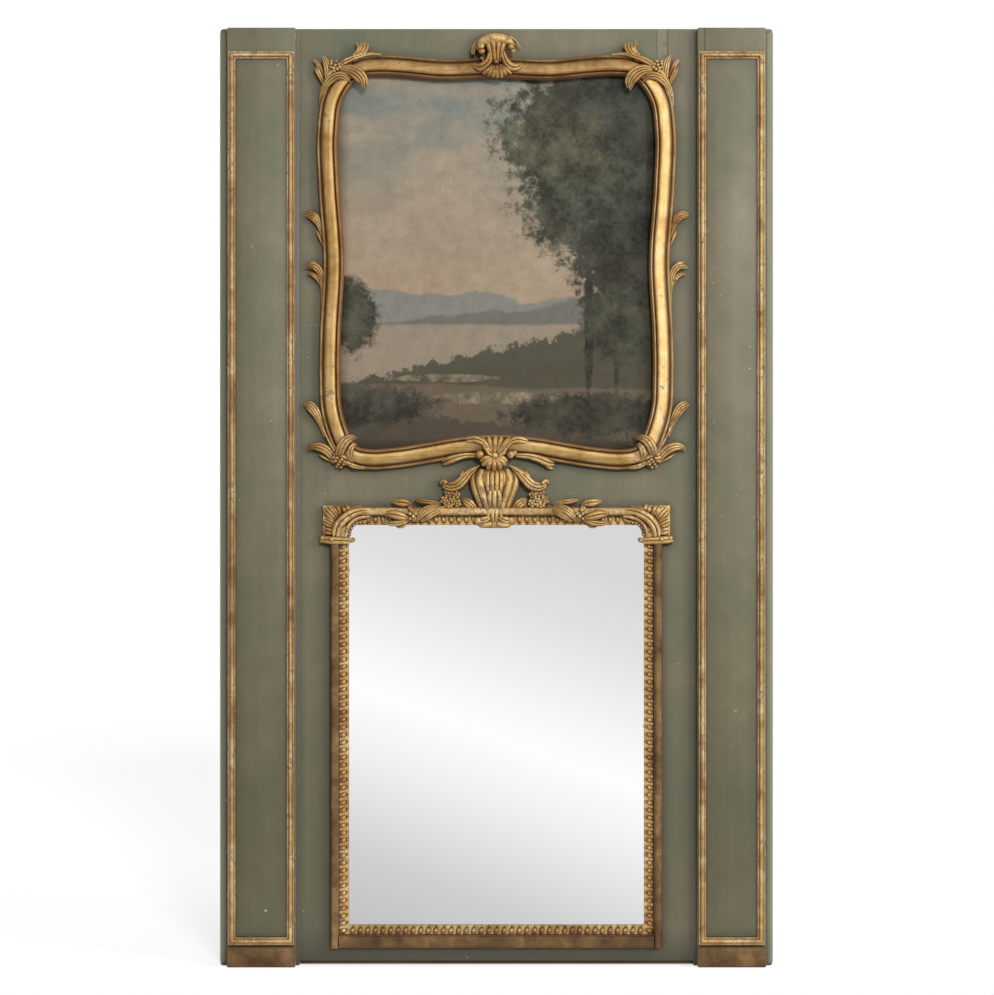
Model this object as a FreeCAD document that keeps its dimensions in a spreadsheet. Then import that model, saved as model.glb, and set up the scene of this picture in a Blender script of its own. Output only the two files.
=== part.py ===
# A trumeau: a tall painted panel with a picture above and a mirror below, between two
# pilasters, with carved and gilded frames and ornaments.
# Millimetres. X runs to the right as seen from the front, the front faces -Y, Z is up.
# The origin is the middle of the footprint, on the floor.
import FreeCAD, Part
import math
import os
import Sketcher
from FreeCAD import Vector

doc = FreeCAD.newDocument("Trumeau")
sheet = doc.addObject("Spreadsheet::Sheet", "Sizes")

DRIVING_SIZES = [
    ("panel_width", 1108, "over the two outer stiles"),
    ("field_lift", 10, "bottom rail above the floor"),
    ("bottom_rail_width", 58, "height of the bottom rail"),
    ("mirror_opening_height", 832, "between bottom and middle rail"),
    ("middle_rail_width", 126, "height of the middle rail"),
    ("picture_opening_height", 764, "between middle and top rail"),
    ("top_rail_width", 83, "height of the top rail"),
    ("outer_stile_width", 160, "stile behind a pilaster"),
    ("inner_stile_width", 74, "stile beside the openings"),
    ("frame_thickness", 26, "stiles and rails, front to back"),
    ("edge_radius", 16, "rounded outer front edge"),
    ("tongue_depth", 8, "tongue on the inner stile"),
    ("tongue_thickness", 8, "tongue on the inner stile"),
    ("tenon_length", 32, "rail tenon into the inner stile"),
    ("tenon_thickness", 9, "rail tenon"),
    ("tenon_shoulder", 8, "rail above and below its tenon"),
    ("joint_clearance", 0.2, "round tongues, tenons and pegs"),
    ("peg_diameter", 8, "peg through each tenon"),
    ("peg_spacing", 26, "between the two pegs of a tenon"),
    ("pilaster_width", 136, "raised board"),
    ("pilaster_thickness", 22, "raised board"),
    ("pilaster_margin", 17, "outer stile left bare beside the board"),
    ("plinth_height", 40, "gilded block at a pilaster's foot"),
    ("plinth_thickness", 10, "gilded block at a pilaster's foot"),
    ("plinth_chamfer", 3, "front edges of the plinth block"),
    ("moulding_width", 14, "gilded moulding on a pilaster"),
    ("moulding_step", 4, "height of its flat edges"),
    ("moulding_bead", 9, "width of its round bead"),
    ("moulding_inset", 2.5, "from the long edges of the board"),
    ("moulding_top_margin", 48, "above the moulding frame"),
    ("moulding_foot_margin", 5, "above the plinth block"),
    ("picture_frame_overlap", 36, "widest bows outside the picture opening"),
    ("picture_corner", 100, "reach of the frame's corner curves"),
    ("picture_frame_top", 29, "frame above the picture opening"),
    ("picture_frame_foot", 34, "frame below the picture opening"),
    ("picture_waist", 12, "how far the sides draw in"),
    ("picture_bar_width", 41, "width of the picture frame's bar"),
    ("picture_bar_height", 30, "its height over the field"),
    ("mirror_band_width", 17, "plain band of the mirror frame"),
    ("mirror_band_height", 24, "its height over the field"),
    ("mirror_foot_band", 26, "width of the band at the foot"),
    ("band_rounding", 6, "rounded front edges of the band"),
    ("mirror_overlap", 11, "band over the stiles"),
    ("mirror_head_overlap", 17, "band over the middle rail"),
    ("mirror_foot_overlap", 31, "band over the bottom rail"),
    ("bead_strip_width", 19, "carved strip inside the band"),
    ("bead_strip_height", 13, "carved strip over the glass"),
    ("bead_rounding", 5, "rounded front edges of the carved strip"),
    ("corner_block_height", 80, "carved block at a mirror corner"),
    ("corner_block_depth", 29, "carved block over the field"),
    ("corner_block_rise", 9, "block above the band"),
    ("corner_block_reach", 18, "block outside the band"),
    ("corner_radius", 26, "rounded corner of the glass"),
    ("glass_thickness", 4, "silvered plate"),
    ("plate_clearance", 2, "round the glass, canvas and boards in an opening"),
    ("fillet_width", 12, "strip that holds the glass"),
    ("fillet_depth", 10, "strip that holds the glass"),
    ("canvas_thickness", 1.5, "primed and painted canvas"),
    ("stretcher_width", 45, "stretcher bar"),
    ("stretcher_depth", 18, "stretcher bar"),
    ("board_thickness", 8, "back board"),
    ("board_overlap", 10, "back board over the edge of its opening"),
    ("batten_thickness", 20, "batten, from frame to wall"),
    ("batten_inset", 14, "batten short of the panel's edge"),
    ("top_batten_height", 56, "batten behind the top rail"),
    ("middle_batten_height", 96, "batten behind the middle rail"),
    ("bottom_batten_height", 54, "batten that stands on the floor"),
    ("hanger_width", 120, "iron hanging plate"),
    ("hanger_height", 40, "iron hanging plate"),
    ("hanger_thickness", 3, "iron hanging plate, let into the batten"),
    ("hanger_hole", 8.5, "hole for a wall screw"),
    ("hanger_pocket", 17, "space for the screw head behind the hole"),
    ("hanger_pocket_depth", 12, "space for the screw head behind the hole"),
    ("hanger_spacing", 640, "between the two wall screws"),
    ("screw_diameter", 5, "wood screw"),
    ("screw_head", 9, "wood screw, countersunk"),
    ("screw_length", 14, "wood screw in the batten"),
    ("screw_spacing", 96, "between the two screws of a plate"),
    ("carving_offset", -4, "carvings stand left of the middle"),
    ("vase_relief", 44, "carved vase over the field, the foremost piece"),
    ("vase_radius", 48, "widest part of the vase"),
    ("vase_height", 120, "from the vase's mouth to its tip"),
    ("leaf_height", 15, "carved leaves on the field"),
    ("wrap_height", 36, "carved leaves over the picture frame"),
    ("berry_radius", 7, "carved berries"),
    ("sprig_height", 31, "laurel over the mirror band"),
    ("arm_height", 26, "scroll arms of the vase"),
    ("crest_height", 40, "shell at the head"),
]

for row, (alias, amount, note) in enumerate(DRIVING_SIZES, start=1):
    sheet.set(f"A{row}", alias)
    sheet.set(f"B{row}", str(amount))
    sheet.set(f"C{row}", note)
    sheet.setAlias(f"B{row}", alias)
doc.recompute()

# Heights up the middle of the panel.
MIRROR_FOOT = "Sizes.field_lift + Sizes.bottom_rail_width"
MIRROR_HEAD = MIRROR_FOOT + " + Sizes.mirror_opening_height"
PICTURE_FOOT = MIRROR_HEAD + " + Sizes.middle_rail_width"
PICTURE_HEAD = PICTURE_FOOT + " + Sizes.picture_opening_height"
FIELD_HEAD = PICTURE_HEAD + " + Sizes.top_rail_width"
# Distances from the middle to one side.
PANEL_SIDE = "Sizes.panel_width / 2"
STILE_JOINT = PANEL_SIDE + " - Sizes.outer_stile_width"
OPENING_SIDE = STILE_JOINT + " - Sizes.inner_stile_width"
PILASTER_SIDE = PANEL_SIDE + " - Sizes.pilaster_margin"
MIRROR_FRAME_SIDE = OPENING_SIDE + " + Sizes.mirror_overlap"
GLASS_SIDE = MIRROR_FRAME_SIDE + " - Sizes.mirror_band_width - Sizes.bead_strip_width"
# Planes from the wall to the front. The panel's depth is centred on the origin.
WALL = "(Sizes.batten_thickness + Sizes.frame_thickness + Sizes.vase_relief) / 2"
FRAME_BACK = WALL + " - Sizes.batten_thickness"
FIELD = FRAME_BACK + " - Sizes.frame_thickness"
PILASTER_FACE = FIELD + " - Sizes.pilaster_thickness"

gauge = doc.addObject("App::FeaturePython", "Gauge")
gauge.addProperty("App::PropertyFloat", "Reading")
pieces = []


def number(expression):
    """The value of an expression over the sizes."""
    gauge.setExpression("Reading", expression)
    gauge.recompute()
    return gauge.Reading


def size(alias):
    return float(sheet.get(alias))


def keep(piece, label):
    """Gives a finished piece the name that its file takes."""
    piece.Label = label
    pieces.append(piece)
    return piece


def bind(thing, values):
    for path, expression in values.items():
        thing.setExpression(path, expression)


def block(name, corner, lengths):
    """A rectangular length of wood from its lowest corner and its three lengths."""
    wood = doc.addObject("Part::Box", name)
    paths = ("Placement.Base.x", "Placement.Base.y", "Placement.Base.z")
    bind(wood, dict(zip(paths, corner)))
    bind(wood, dict(zip(("Length", "Width", "Height"), lengths)))
    return wood


def rod(name, radius, height, place, direction):
    """A round rod from the middle of its first end."""
    turned = doc.addObject("Part::Cylinder", name)
    bind(turned, {"Radius": radius, "Height": height})
    turned.Placement.Rotation = FreeCAD.Rotation(Vector(0, 0, 1), direction)
    paths = ("Placement.Base.x", "Placement.Base.y", "Placement.Base.z")
    bind(turned, dict(zip(paths, place)))
    return turned


def join(name, parts):
    joined = doc.addObject("Part::MultiFuse", name)
    joined.Shapes = parts
    return joined


def cut(name, base, tool):
    result = doc.addObject("Part::Cut", name)
    result.Base = base
    result.Tool = tool
    return result


def group(name, parts):
    """Several separate solids that share one name."""
    together = doc.addObject("Part::Compound", name)
    together.Links = parts
    return together


def solid_feature(label, shape):
    feature = doc.addObject("Part::Feature", label)
    feature.Shape = shape
    return keep(feature, label)


# ---- Stiles and rails -------------------------------------------------------------

RAILS = {
    "bottom_rail": ("Sizes.field_lift", "Sizes.bottom_rail_width"),
    "middle_rail": (MIRROR_HEAD, "Sizes.middle_rail_width"),
    "top_rail": (PICTURE_HEAD, "Sizes.top_rail_width"),
}
TENON_FRONT = f"({FIELD} + {FRAME_BACK}) / 2 - Sizes.tenon_thickness / 2"


def tenon(name, side, foot, width, clearance):
    """The tenon of a rail on side -1 or 1, or the mortise with a clearance around it."""
    inner = f"{side} * ({OPENING_SIDE})"
    length = f"Sizes.tenon_length + {clearance}"
    start = inner if side > 0 else f"{inner} - ({length})"
    return block(
        name,
        (start, f"{TENON_FRONT} - {clearance}", f"{foot} + Sizes.tenon_shoulder - {clearance}"),
        (
            length,
            f"Sizes.tenon_thickness + 2 * {clearance}",
            f"{width} - 2 * Sizes.tenon_shoulder + 2 * {clearance}",
        ),
    )


def peg_places(side):
    """Where the pegs on one side stand: two for each rail."""
    across = f"{side} * ({OPENING_SIDE} + Sizes.tenon_length / 2)"
    for rail, (foot, width) in RAILS.items():
        for end in (-1, 1):
            height = f"{foot} + {width} / 2 + {end} * Sizes.peg_spacing / 2"
            yield rail, f"{rail}_{'lower' if end < 0 else 'upper'}", (across, FIELD, height)


def peg_rods(side, prefix, radius, rail=None):
    """Pegs, or the holes for them, on one side, for one rail or for all."""
    return [
        rod(f"{prefix}_{side + 1}_{name}", radius, "Sizes.frame_thickness", place, Vector(0, 1, 0))
        for owner, name, place in peg_places(side)
        if rail in (None, owner)
    ]


PEG_HOLE = "Sizes.peg_diameter / 2 + Sizes.joint_clearance"


def make_rail(label, foot, width):
    body = block(
        f"{label}_board",
        (f"-({OPENING_SIDE})", FIELD, foot),
        (f"2 * ({OPENING_SIDE})", "Sizes.frame_thickness", width),
    )
    tenons = [tenon(f"{label}_tenon_{side + 1}", side, foot, width, "0") for side in (-1, 1)]
    blank = join(f"{label}_blank", [body] + tenons)
    holes = [hole for side in (-1, 1) for hole in peg_rods(side, f"{label}_hole", PEG_HOLE, label)]
    return keep(cut(label, blank, join(f"{label}_holes", holes)), label)


def make_inner_stile(label, side):
    """A stile with a mortise for each rail and a tongue along its outer edge."""
    near = OPENING_SIDE if side > 0 else f"-({STILE_JOINT})"
    length = f"{FIELD_HEAD} - Sizes.field_lift"
    board = block(
        f"{label}_board",
        (near, FIELD, "Sizes.field_lift"),
        ("Sizes.inner_stile_width", "Sizes.frame_thickness", length),
    )
    tongue_start = STILE_JOINT if side > 0 else f"-({STILE_JOINT}) - Sizes.tongue_depth"
    tongue = block(
        f"{label}_tongue",
        (tongue_start, f"({FIELD} + {FRAME_BACK} - Sizes.tongue_thickness) / 2", "Sizes.field_lift"),
        ("Sizes.tongue_depth", "Sizes.tongue_thickness", length),
    )
    mortises = [
        tenon(f"{label}_mortise_{rail}", side, foot, width, "Sizes.joint_clearance")
        for rail, (foot, width) in RAILS.items()
    ]
    holes = peg_rods(side, f"{label}_hole", PEG_HOLE)
    blank = join(f"{label}_blank", [board, tongue])
    return keep(cut(label, blank, join(f"{label}_cuts", mortises + holes)), label)


def origin_plane(body, role):
    return next(part for part in body.Origin.OriginFeatures if part.Role == role)


def sketch_on(body, name, role):
    sketch = body.newObject("Sketcher::SketchObject", name)
    sketch.AttachmentSupport = [(origin_plane(body, role), "")]
    sketch.MapMode = "FlatFace"
    return sketch


def draw_rectangle(sketch, first, width, height):
    """A rectangle from a corner at first, with its sides bound to two expressions."""
    x, y = first
    corners = [Vector(x, y), Vector(x + 40, y), Vector(x + 40, y + 40), Vector(x, y + 40)]
    start = sketch.GeometryCount
    for corner, following in zip(corners, corners[1:] + corners[:1]):
        sketch.addGeometry(Part.LineSegment(corner, following), False)
    rules = []
    for side in range(4):
        rules.append(Sketcher.Constraint("Coincident", start + side, 2, start + (side + 1) % 4, 1))
    rules.append(Sketcher.Constraint("Horizontal", start))
    rules.append(Sketcher.Constraint("Horizontal", start + 2))
    rules.append(Sketcher.Constraint("Vertical", start + 1))
    rules.append(Sketcher.Constraint("Vertical", start + 3))
    sketch.addConstraint(rules)
    if x == 0 and y == 0:
        sketch.addConstraint(Sketcher.Constraint("Coincident", start, 1, -1, 1))
    for name, constraint, expression in (
        ("width", Sketcher.Constraint("DistanceX", start, 1, start, 2, 40), width),
        ("height", Sketcher.Constraint("DistanceY", start + 1, 1, start + 1, 2, 40), height),
    ):
        index = sketch.addConstraint(constraint)
        sketch.renameConstraint(index, name)
        sketch.setExpression(f"Constraints.{name}", expression)


def place_body(body, directions, corner):
    """Turns a body so that its own axes point along directions, and moves it to a corner."""
    across, forward, along = directions
    body.Placement.Rotation = FreeCAD.Rotation(across, forward, along, "ZXY")
    paths = ("Placement.Base.x", "Placement.Base.y", "Placement.Base.z")
    bind(body, dict(zip(paths, corner)))


def make_outer_stile(label, side):
    """The stile behind a pilaster: rounded outer front edge, groove along the inner edge."""
    body = doc.addObject("PartDesign::Body", f"{label}_body")
    outline = sketch_on(body, f"{label}_section", "XY_Plane")
    draw_rectangle(outline, (0, 0), "Sizes.outer_stile_width", "Sizes.frame_thickness")
    length = body.newObject("PartDesign::Pad", f"{label}_length")
    length.Profile = outline
    length.setExpression("Length", FIELD_HEAD)
    doc.recompute()
    outer = size("outer_stile_width") if side > 0 else 0
    edge = next(
        index
        for index, edge in enumerate(length.Shape.Edges, start=1)
        if abs(edge.CenterOfMass.x - outer) + abs(edge.CenterOfMass.y) < 0.001
    )
    rounding = body.newObject("PartDesign::Fillet", f"{label}_rounding")
    rounding.Base = (length, [f"Edge{edge}"])
    rounding.setExpression("Radius", "Sizes.edge_radius")
    corner = STILE_JOINT if side > 0 else f"-({PANEL_SIDE})"
    place_body(body, (Vector(1, 0, 0), Vector(0, 1, 0), Vector(0, 0, 1)), (corner, FIELD, "0"))
    depth = "Sizes.tongue_depth + Sizes.joint_clearance"
    groove = block(
        f"{label}_groove",
        (
            STILE_JOINT if side > 0 else f"-({STILE_JOINT}) - ({depth})",
            f"({FIELD} + {FRAME_BACK} - Sizes.tongue_thickness) / 2 - Sizes.joint_clearance",
            "0",
        ),
        (depth, "Sizes.tongue_thickness + 2 * Sizes.joint_clearance", FIELD_HEAD),
    )
    return keep(cut(label, body, groove), label)


for rail_label, (rail_foot, rail_width) in RAILS.items():
    make_rail(rail_label, rail_foot, rail_width)
for hand, hand_side in (("left", -1), ("right", 1)):
    make_inner_stile(f"{hand}_inner_stile", hand_side)
    make_outer_stile(f"{hand}_outer_stile", hand_side)

pegs = [
    peg
    for side in (-1, 1)
    for peg in peg_rods(side, "tenon_peg", "Sizes.peg_diameter / 2")
]
keep(group("tenon_pegs", pegs), "tenon_pegs")


# ---- Pilasters --------------------------------------------------------------------

def draw_bead_profile(sketch):
    """A flat edge, a half-round bead and a flat edge, from the outer edge inwards."""
    points = [Vector(0, 0), Vector(0, 4), Vector(3, 4), Vector(12, 4), Vector(15, 4), Vector(15, 0)]
    lines = [(0, 1), (1, 2), (3, 4), (4, 5), (5, 0)]
    for first, last in lines:
        sketch.addGeometry(Part.LineSegment(points[first], points[last]), False)
    crown = Part.Arc(points[3], Vector(7.5, 8.5), points[2])
    sketch.addGeometry(crown, False)
    rise, near_flat, far_flat, fall, base, bead = range(6)
    rules = [
        Sketcher.Constraint("Coincident", rise, 1, -1, 1),
        Sketcher.Constraint("Coincident", rise, 2, near_flat, 1),
        Sketcher.Constraint("Coincident", near_flat, 2, bead, 2),
        Sketcher.Constraint("Coincident", bead, 1, far_flat, 1),
        Sketcher.Constraint("Coincident", far_flat, 2, fall, 1),
        Sketcher.Constraint("Coincident", fall, 2, base, 1),
        Sketcher.Constraint("Coincident", base, 2, rise, 1),
        Sketcher.Constraint("Vertical", rise),
        Sketcher.Constraint("Horizontal", near_flat),
        Sketcher.Constraint("Horizontal", far_flat),
        Sketcher.Constraint("Vertical", fall),
        Sketcher.Constraint("Horizontal", base),
        Sketcher.Constraint("Equal", near_flat, far_flat),
        Sketcher.Constraint("Symmetric", bead, 1, bead, 2, bead, 3),
    ]
    sketch.addConstraint(rules)
    for name, rule, expression in (
        ("step", Sketcher.Constraint("DistanceY", rise, 1, rise, 2, 4), "Sizes.moulding_step"),
        ("width", Sketcher.Constraint("DistanceX", base, 2, base, 1, 15), "Sizes.moulding_width"),
        ("bead", Sketcher.Constraint("DistanceX", bead, 2, bead, 1, 9), "Sizes.moulding_bead"),
    ):
        index = sketch.addConstraint(rule)
        sketch.renameConstraint(index, name)
        sketch.setExpression(f"Constraints.{name}", expression)


def draw_mitres(sketch, length):
    """Two triangles that cut the ends of a moulding to 45 degrees, long at its outer edge."""
    corners = [
        (Vector(0, 0), Vector(15, 0), Vector(15, 15)),
        (Vector(0, 90), Vector(15, 90), Vector(15, 75)),
    ]
    for start, (sharp, square, end) in zip((0, 3), corners):
        for first, last in ((sharp, square), (square, end), (end, sharp)):
            sketch.addGeometry(Part.LineSegment(first, last), False)
        sketch.addConstraint(
            [
                Sketcher.Constraint("Coincident", start, 2, start + 1, 1),
                Sketcher.Constraint("Coincident", start + 1, 2, start + 2, 1),
                Sketcher.Constraint("Coincident", start + 2, 2, start, 1),
                Sketcher.Constraint("Horizontal", start),
                Sketcher.Constraint("Vertical", start + 1),
                Sketcher.Constraint("Equal", start, start + 1),
            ]
        )
    sketch.addConstraint(Sketcher.Constraint("Coincident", 0, 1, -1, 1))
    sketch.addConstraint(Sketcher.Constraint("PointOnObject", 3, 1, -2))
    sketch.addConstraint(Sketcher.Constraint("Equal", 0, 3))
    for name, rule, expression in (
        ("width", Sketcher.Constraint("DistanceX", 0, 1, 0, 2, 15), "Sizes.moulding_width"),
        ("length", Sketcher.Constraint("DistanceY", 0, 1, 3, 1, 90), length),
    ):
        index = sketch.addConstraint(rule)
        sketch.renameConstraint(index, name)
        sketch.setExpression(f"Constraints.{name}", expression)


def make_moulding(label, length, directions, corner):
    """A length of gilded moulding, mitred at both ends."""
    body = doc.addObject("PartDesign::Body", f"{label}_body")
    profile = sketch_on(body, f"{label}_profile", "XY_Plane")
    draw_bead_profile(profile)
    run = body.newObject("PartDesign::Pad", f"{label}_run")
    run.Profile = profile
    run.setExpression("Length", length)
    ends = sketch_on(body, f"{label}_ends", "XZ_Plane")
    draw_mitres(ends, length)
    mitres = body.newObject("PartDesign::Pocket", f"{label}_mitres")
    mitres.Profile = ends
    mitres.Type = "ThroughAll"
    mitres.SideType = "Symmetric"
    place_body(body, directions, corner)
    doc.recompute()
    if mitres.Shape.Volume >= run.Shape.Volume:
        raise ValueError(f"{label}: its mitres cut nothing")
    return keep(body, label)


def make_moulding_frame(prefix, near, far, foot, head):
    """Four mitred lengths round a rectangle from near to far and from foot to head."""
    x, y, z = Vector(1, 0, 0), Vector(0, 1, 0), Vector(0, 0, 1)
    tall = f"({head}) - ({foot})"
    wide = f"({far}) - ({near})"
    make_moulding(f"{prefix}_left", tall, (x, -y, -z), (near, PILASTER_FACE, head))
    make_moulding(f"{prefix}_right", tall, (-x, -y, z), (far, PILASTER_FACE, foot))
    make_moulding(f"{prefix}_top", wide, (-z, -y, -x), (far, PILASTER_FACE, head))
    make_moulding(f"{prefix}_bottom", wide, (z, -y, x), (near, PILASTER_FACE, foot))


def make_plinth_block(label, near):
    body = doc.addObject("PartDesign::Body", f"{label}_body")
    outline = sketch_on(body, f"{label}_outline", "XY_Plane")
    draw_rectangle(outline, (0, 0), "Sizes.pilaster_width", "Sizes.plinth_thickness")
    rise = body.newObject("PartDesign::Pad", f"{label}_rise")
    rise.Profile = outline
    rise.setExpression("Length", "Sizes.plinth_height")
    doc.recompute()
    front_edges = [
        f"Edge{index}"
        for index, edge in enumerate(rise.Shape.Edges, start=1)
        if abs(edge.CenterOfMass.y) < 0.001 and edge.CenterOfMass.z > 0.001
    ]
    if len(front_edges) != 3:
        raise ValueError(f"{label}: its three free front edges aren't found")
    edges = body.newObject("PartDesign::Chamfer", f"{label}_edges")
    edges.Base = (rise, front_edges)
    edges.setExpression("Size", "Sizes.plinth_chamfer")
    front = f"{PILASTER_FACE} - Sizes.plinth_thickness"
    place_body(body, (Vector(1, 0, 0), Vector(0, 1, 0), Vector(0, 0, 1)), (near, front, "0"))
    return keep(body, label)


for hand, hand_side in (("left", -1), ("right", 1)):
    board_near = f"{PILASTER_SIDE} - Sizes.pilaster_width" if hand_side > 0 else f"-({PILASTER_SIDE})"
    board = block(
        f"{hand}_pilaster_board",
        (board_near, PILASTER_FACE, "0"),
        ("Sizes.pilaster_width", "Sizes.pilaster_thickness", FIELD_HEAD),
    )
    keep(board, f"{hand}_pilaster_board")
    make_plinth_block(f"{hand}_plinth_block", board_near)
    make_moulding_frame(
        f"{hand}_pilaster_moulding",
        f"{board_near} + Sizes.moulding_inset",
        f"{board_near} + Sizes.pilaster_width - Sizes.moulding_inset",
        "Sizes.plinth_height + Sizes.moulding_foot_margin",
        f"{FIELD_HEAD} - Sizes.moulding_top_margin",
    )


# ---- Picture frame ----------------------------------------------------------------

field = number(FIELD)
half = number(OPENING_SIDE) + size("picture_frame_overlap")
head = number(PICTURE_HEAD) + size("picture_frame_top")
foot = number(PICTURE_FOOT) - size("picture_frame_foot")
TOWARDS_ROOM = Vector(0, -1, 0)


def unit(vector):
    return vector / vector.Length


def directions_along(points):
    """The direction of a closed smooth route at each point, from the circle through three."""
    result = []
    for index, point in enumerate(points):
        before = point - points[index - 1]
        after = points[(index + 1) % len(points)] - point
        result.append(unit(before / before.Length**2 + after / after.Length**2))
    return result


def arc_leaving(start, end, direction):
    """The arc from start to end that leaves along direction, or a line where they agree."""
    chord = end - start
    along = unit(chord)
    sideways = direction - along * direction.dot(along)
    if sideways.Length < 1e-6:
        return Part.LineSegment(start, end).toShape()
    turn = math.atan2(sideways.Length, direction.dot(along))
    crown = (start + end) / 2 + unit(sideways) * (chord.Length / 2 * math.tan(turn / 2))
    return Part.Arc(start, crown, end).toShape()


def two_arcs(start, end, leaving, arriving):
    """Two arcs that meet smoothly and take a route from start to end."""
    chord = end - start
    swing = 1 - leaving.dot(arriving)
    reach = chord.dot(leaving + arriving)
    if swing < 1e-9:
        handle = chord.dot(chord) / (2 * reach)
    else:
        handle = (math.sqrt(reach**2 + 4 * swing * chord.dot(chord) / 2) - reach) / (2 * swing)
    middle = (start + leaving * handle + end - arriving * handle) / 2
    second = arc_leaving(end, middle, -arriving)
    return [arc_leaving(start, middle, leaving), second]


def frame_outline():
    """The outer edge of the picture frame, clockwise from the middle of the top.

    The corner points, where the four bars meet, come back as their places in the list.
    """
    waist = (head + foot) / 2
    span = head - foot
    corner = size("picture_corner")
    right = [
        (half * 0.31, head - corner * 0.09),
        (half * 0.52, head - corner * 0.02),
        (half * 0.66, head),
        (half - corner * 0.88, head - corner * 0.03),
        (half - corner * 0.59, head - corner * 0.15),
        (half - corner * 0.38, head - corner * 0.34),
        (half - corner * 0.11, head - corner * 0.79),
        (half, head - span * 0.18),
        (half - corner * 0.02, head - span * 0.313),
        (half - size("picture_waist"), waist),
        (half - corner * 0.05, foot + span * 0.324),
        (half - corner * 0.04, foot + span * 0.227),
        (half - corner * 0.08, foot + corner * 1.15),
        (half - corner * 0.17, foot + corner * 0.79),
        (half - corner * 0.34, foot + corner * 0.39),
        (half - corner * 0.5, foot + corner * 0.17),
        (half - corner * 0.72, foot + corner * 0.05),
        (half * 0.713, foot),
        (half * 0.562, foot + corner * 0.03),
        (half * 0.393, foot + corner * 0.12),
        (half * 0.22, foot + corner * 0.23),
    ]
    left = [(-x, z) for x, z in reversed(right)]
    rounds = [(0, head - corner * 0.05)] + right + [(0, foot + corner * 0.29)] + left
    upper, lower = 6, 16
    corners = [upper, lower, len(rounds) - lower, len(rounds) - upper]
    return [Vector(x, field, z) for x, z in rounds], corners


def bar_profile(start, direction):
    """The bar's section at start: a rim, a groove, a broad swelling band and an inner lip."""
    inward = direction.cross(TOWARDS_ROOM)
    width = size("picture_bar_width")
    height = size("picture_bar_height")

    def at(across, high):
        return start + inward * (across * width) + TOWARDS_ROOM * (high * height)

    section = [
        (0, 0),
        (0, 0.5),
        (0.05, 0.58),
        (0.12, 0.58),
        (0.17, 0.5),
        (0.21, 0.4),
        (0.34, 0.74),
        (0.5, 0.92),
        (0.68, 1),
        (0.78, 0.97),
        (0.82, 0.74),
        (0.93, 0.74),
        (1, 0.6),
        (1, 0),
    ]
    return Part.makePolygon([at(across, high) for across, high in section + section[:1]])


def sweep_bar(points, directions):
    """One bar of the frame along two arcs for each stretch of its outer edge."""
    edges = []
    for index in range(len(points) - 1):
        edges += two_arcs(points[index], points[index + 1], directions[index], directions[index + 1])
    shell = Part.BRepOffsetAPI.MakePipeShell(Part.Wire(Part.__sortEdges__(edges)))
    shell.setBiNormalMode(TOWARDS_ROOM)
    shell.add(bar_profile(points[0], directions[0]))
    shell.build()
    shell.makeSolid()
    return shell.shape()


outline_points, outline_corners = frame_outline()
outline_directions = directions_along(outline_points)
left_lower_corner, left_upper_corner = [outline_points[place] for place in outline_corners[2:]]
picture_bars = {}
bar_names = ("right", "bottom", "left", "top")
for name, first, last in zip(bar_names, outline_corners, outline_corners[1:] + outline_corners[:1]):
    count = (last - first) % len(outline_points)
    stations = [(first + step) % len(outline_points) for step in range(count + 1)]
    bar = sweep_bar(
        [outline_points[station] for station in stations],
        [outline_directions[station] for station in stations],
    )
    picture_bars[name] = bar
    solid_feature(f"picture_frame_{name}", bar)


# ---- Mirror frame -----------------------------------------------------------------

FRAME_HEAD = MIRROR_HEAD + " + Sizes.mirror_head_overlap"
FRAME_FOOT = MIRROR_FOOT + " - Sizes.mirror_foot_overlap"
BLOCK_FOOT = FRAME_HEAD + " + Sizes.corner_block_rise - Sizes.corner_block_height"
BAND_INSIDE = MIRROR_FRAME_SIDE + " - Sizes.mirror_band_width"
STRIP_HEAD = FRAME_HEAD + " - Sizes.mirror_band_width"
STRIP_FOOT = FRAME_FOOT + " + Sizes.mirror_foot_band"


def make_rounded_bar(label, section, length, rounding, directions, corner):
    """A bar on the field with its two front edges rounded."""
    width, height = section
    body = doc.addObject("PartDesign::Body", f"{label}_body")
    outline = sketch_on(body, f"{label}_section", "XY_Plane")
    draw_rectangle(outline, (0, 0), width, height)
    run = body.newObject("PartDesign::Pad", f"{label}_run")
    run.Profile = outline
    run.setExpression("Length", length)
    doc.recompute()
    front = number(height)
    edges = [
        f"Edge{index}"
        for index, edge in enumerate(run.Shape.Edges, start=1)
        if abs(edge.CenterOfMass.y - front) < 0.001 and abs(edge.CenterOfMass.z - number(length) / 2) < 0.001
    ]
    rounds = body.newObject("PartDesign::Fillet", f"{label}_rounds")
    rounds.Base = (run, edges)
    rounds.setExpression("Radius", rounding)
    place_body(body, directions, corner)
    return keep(body, label)


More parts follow.
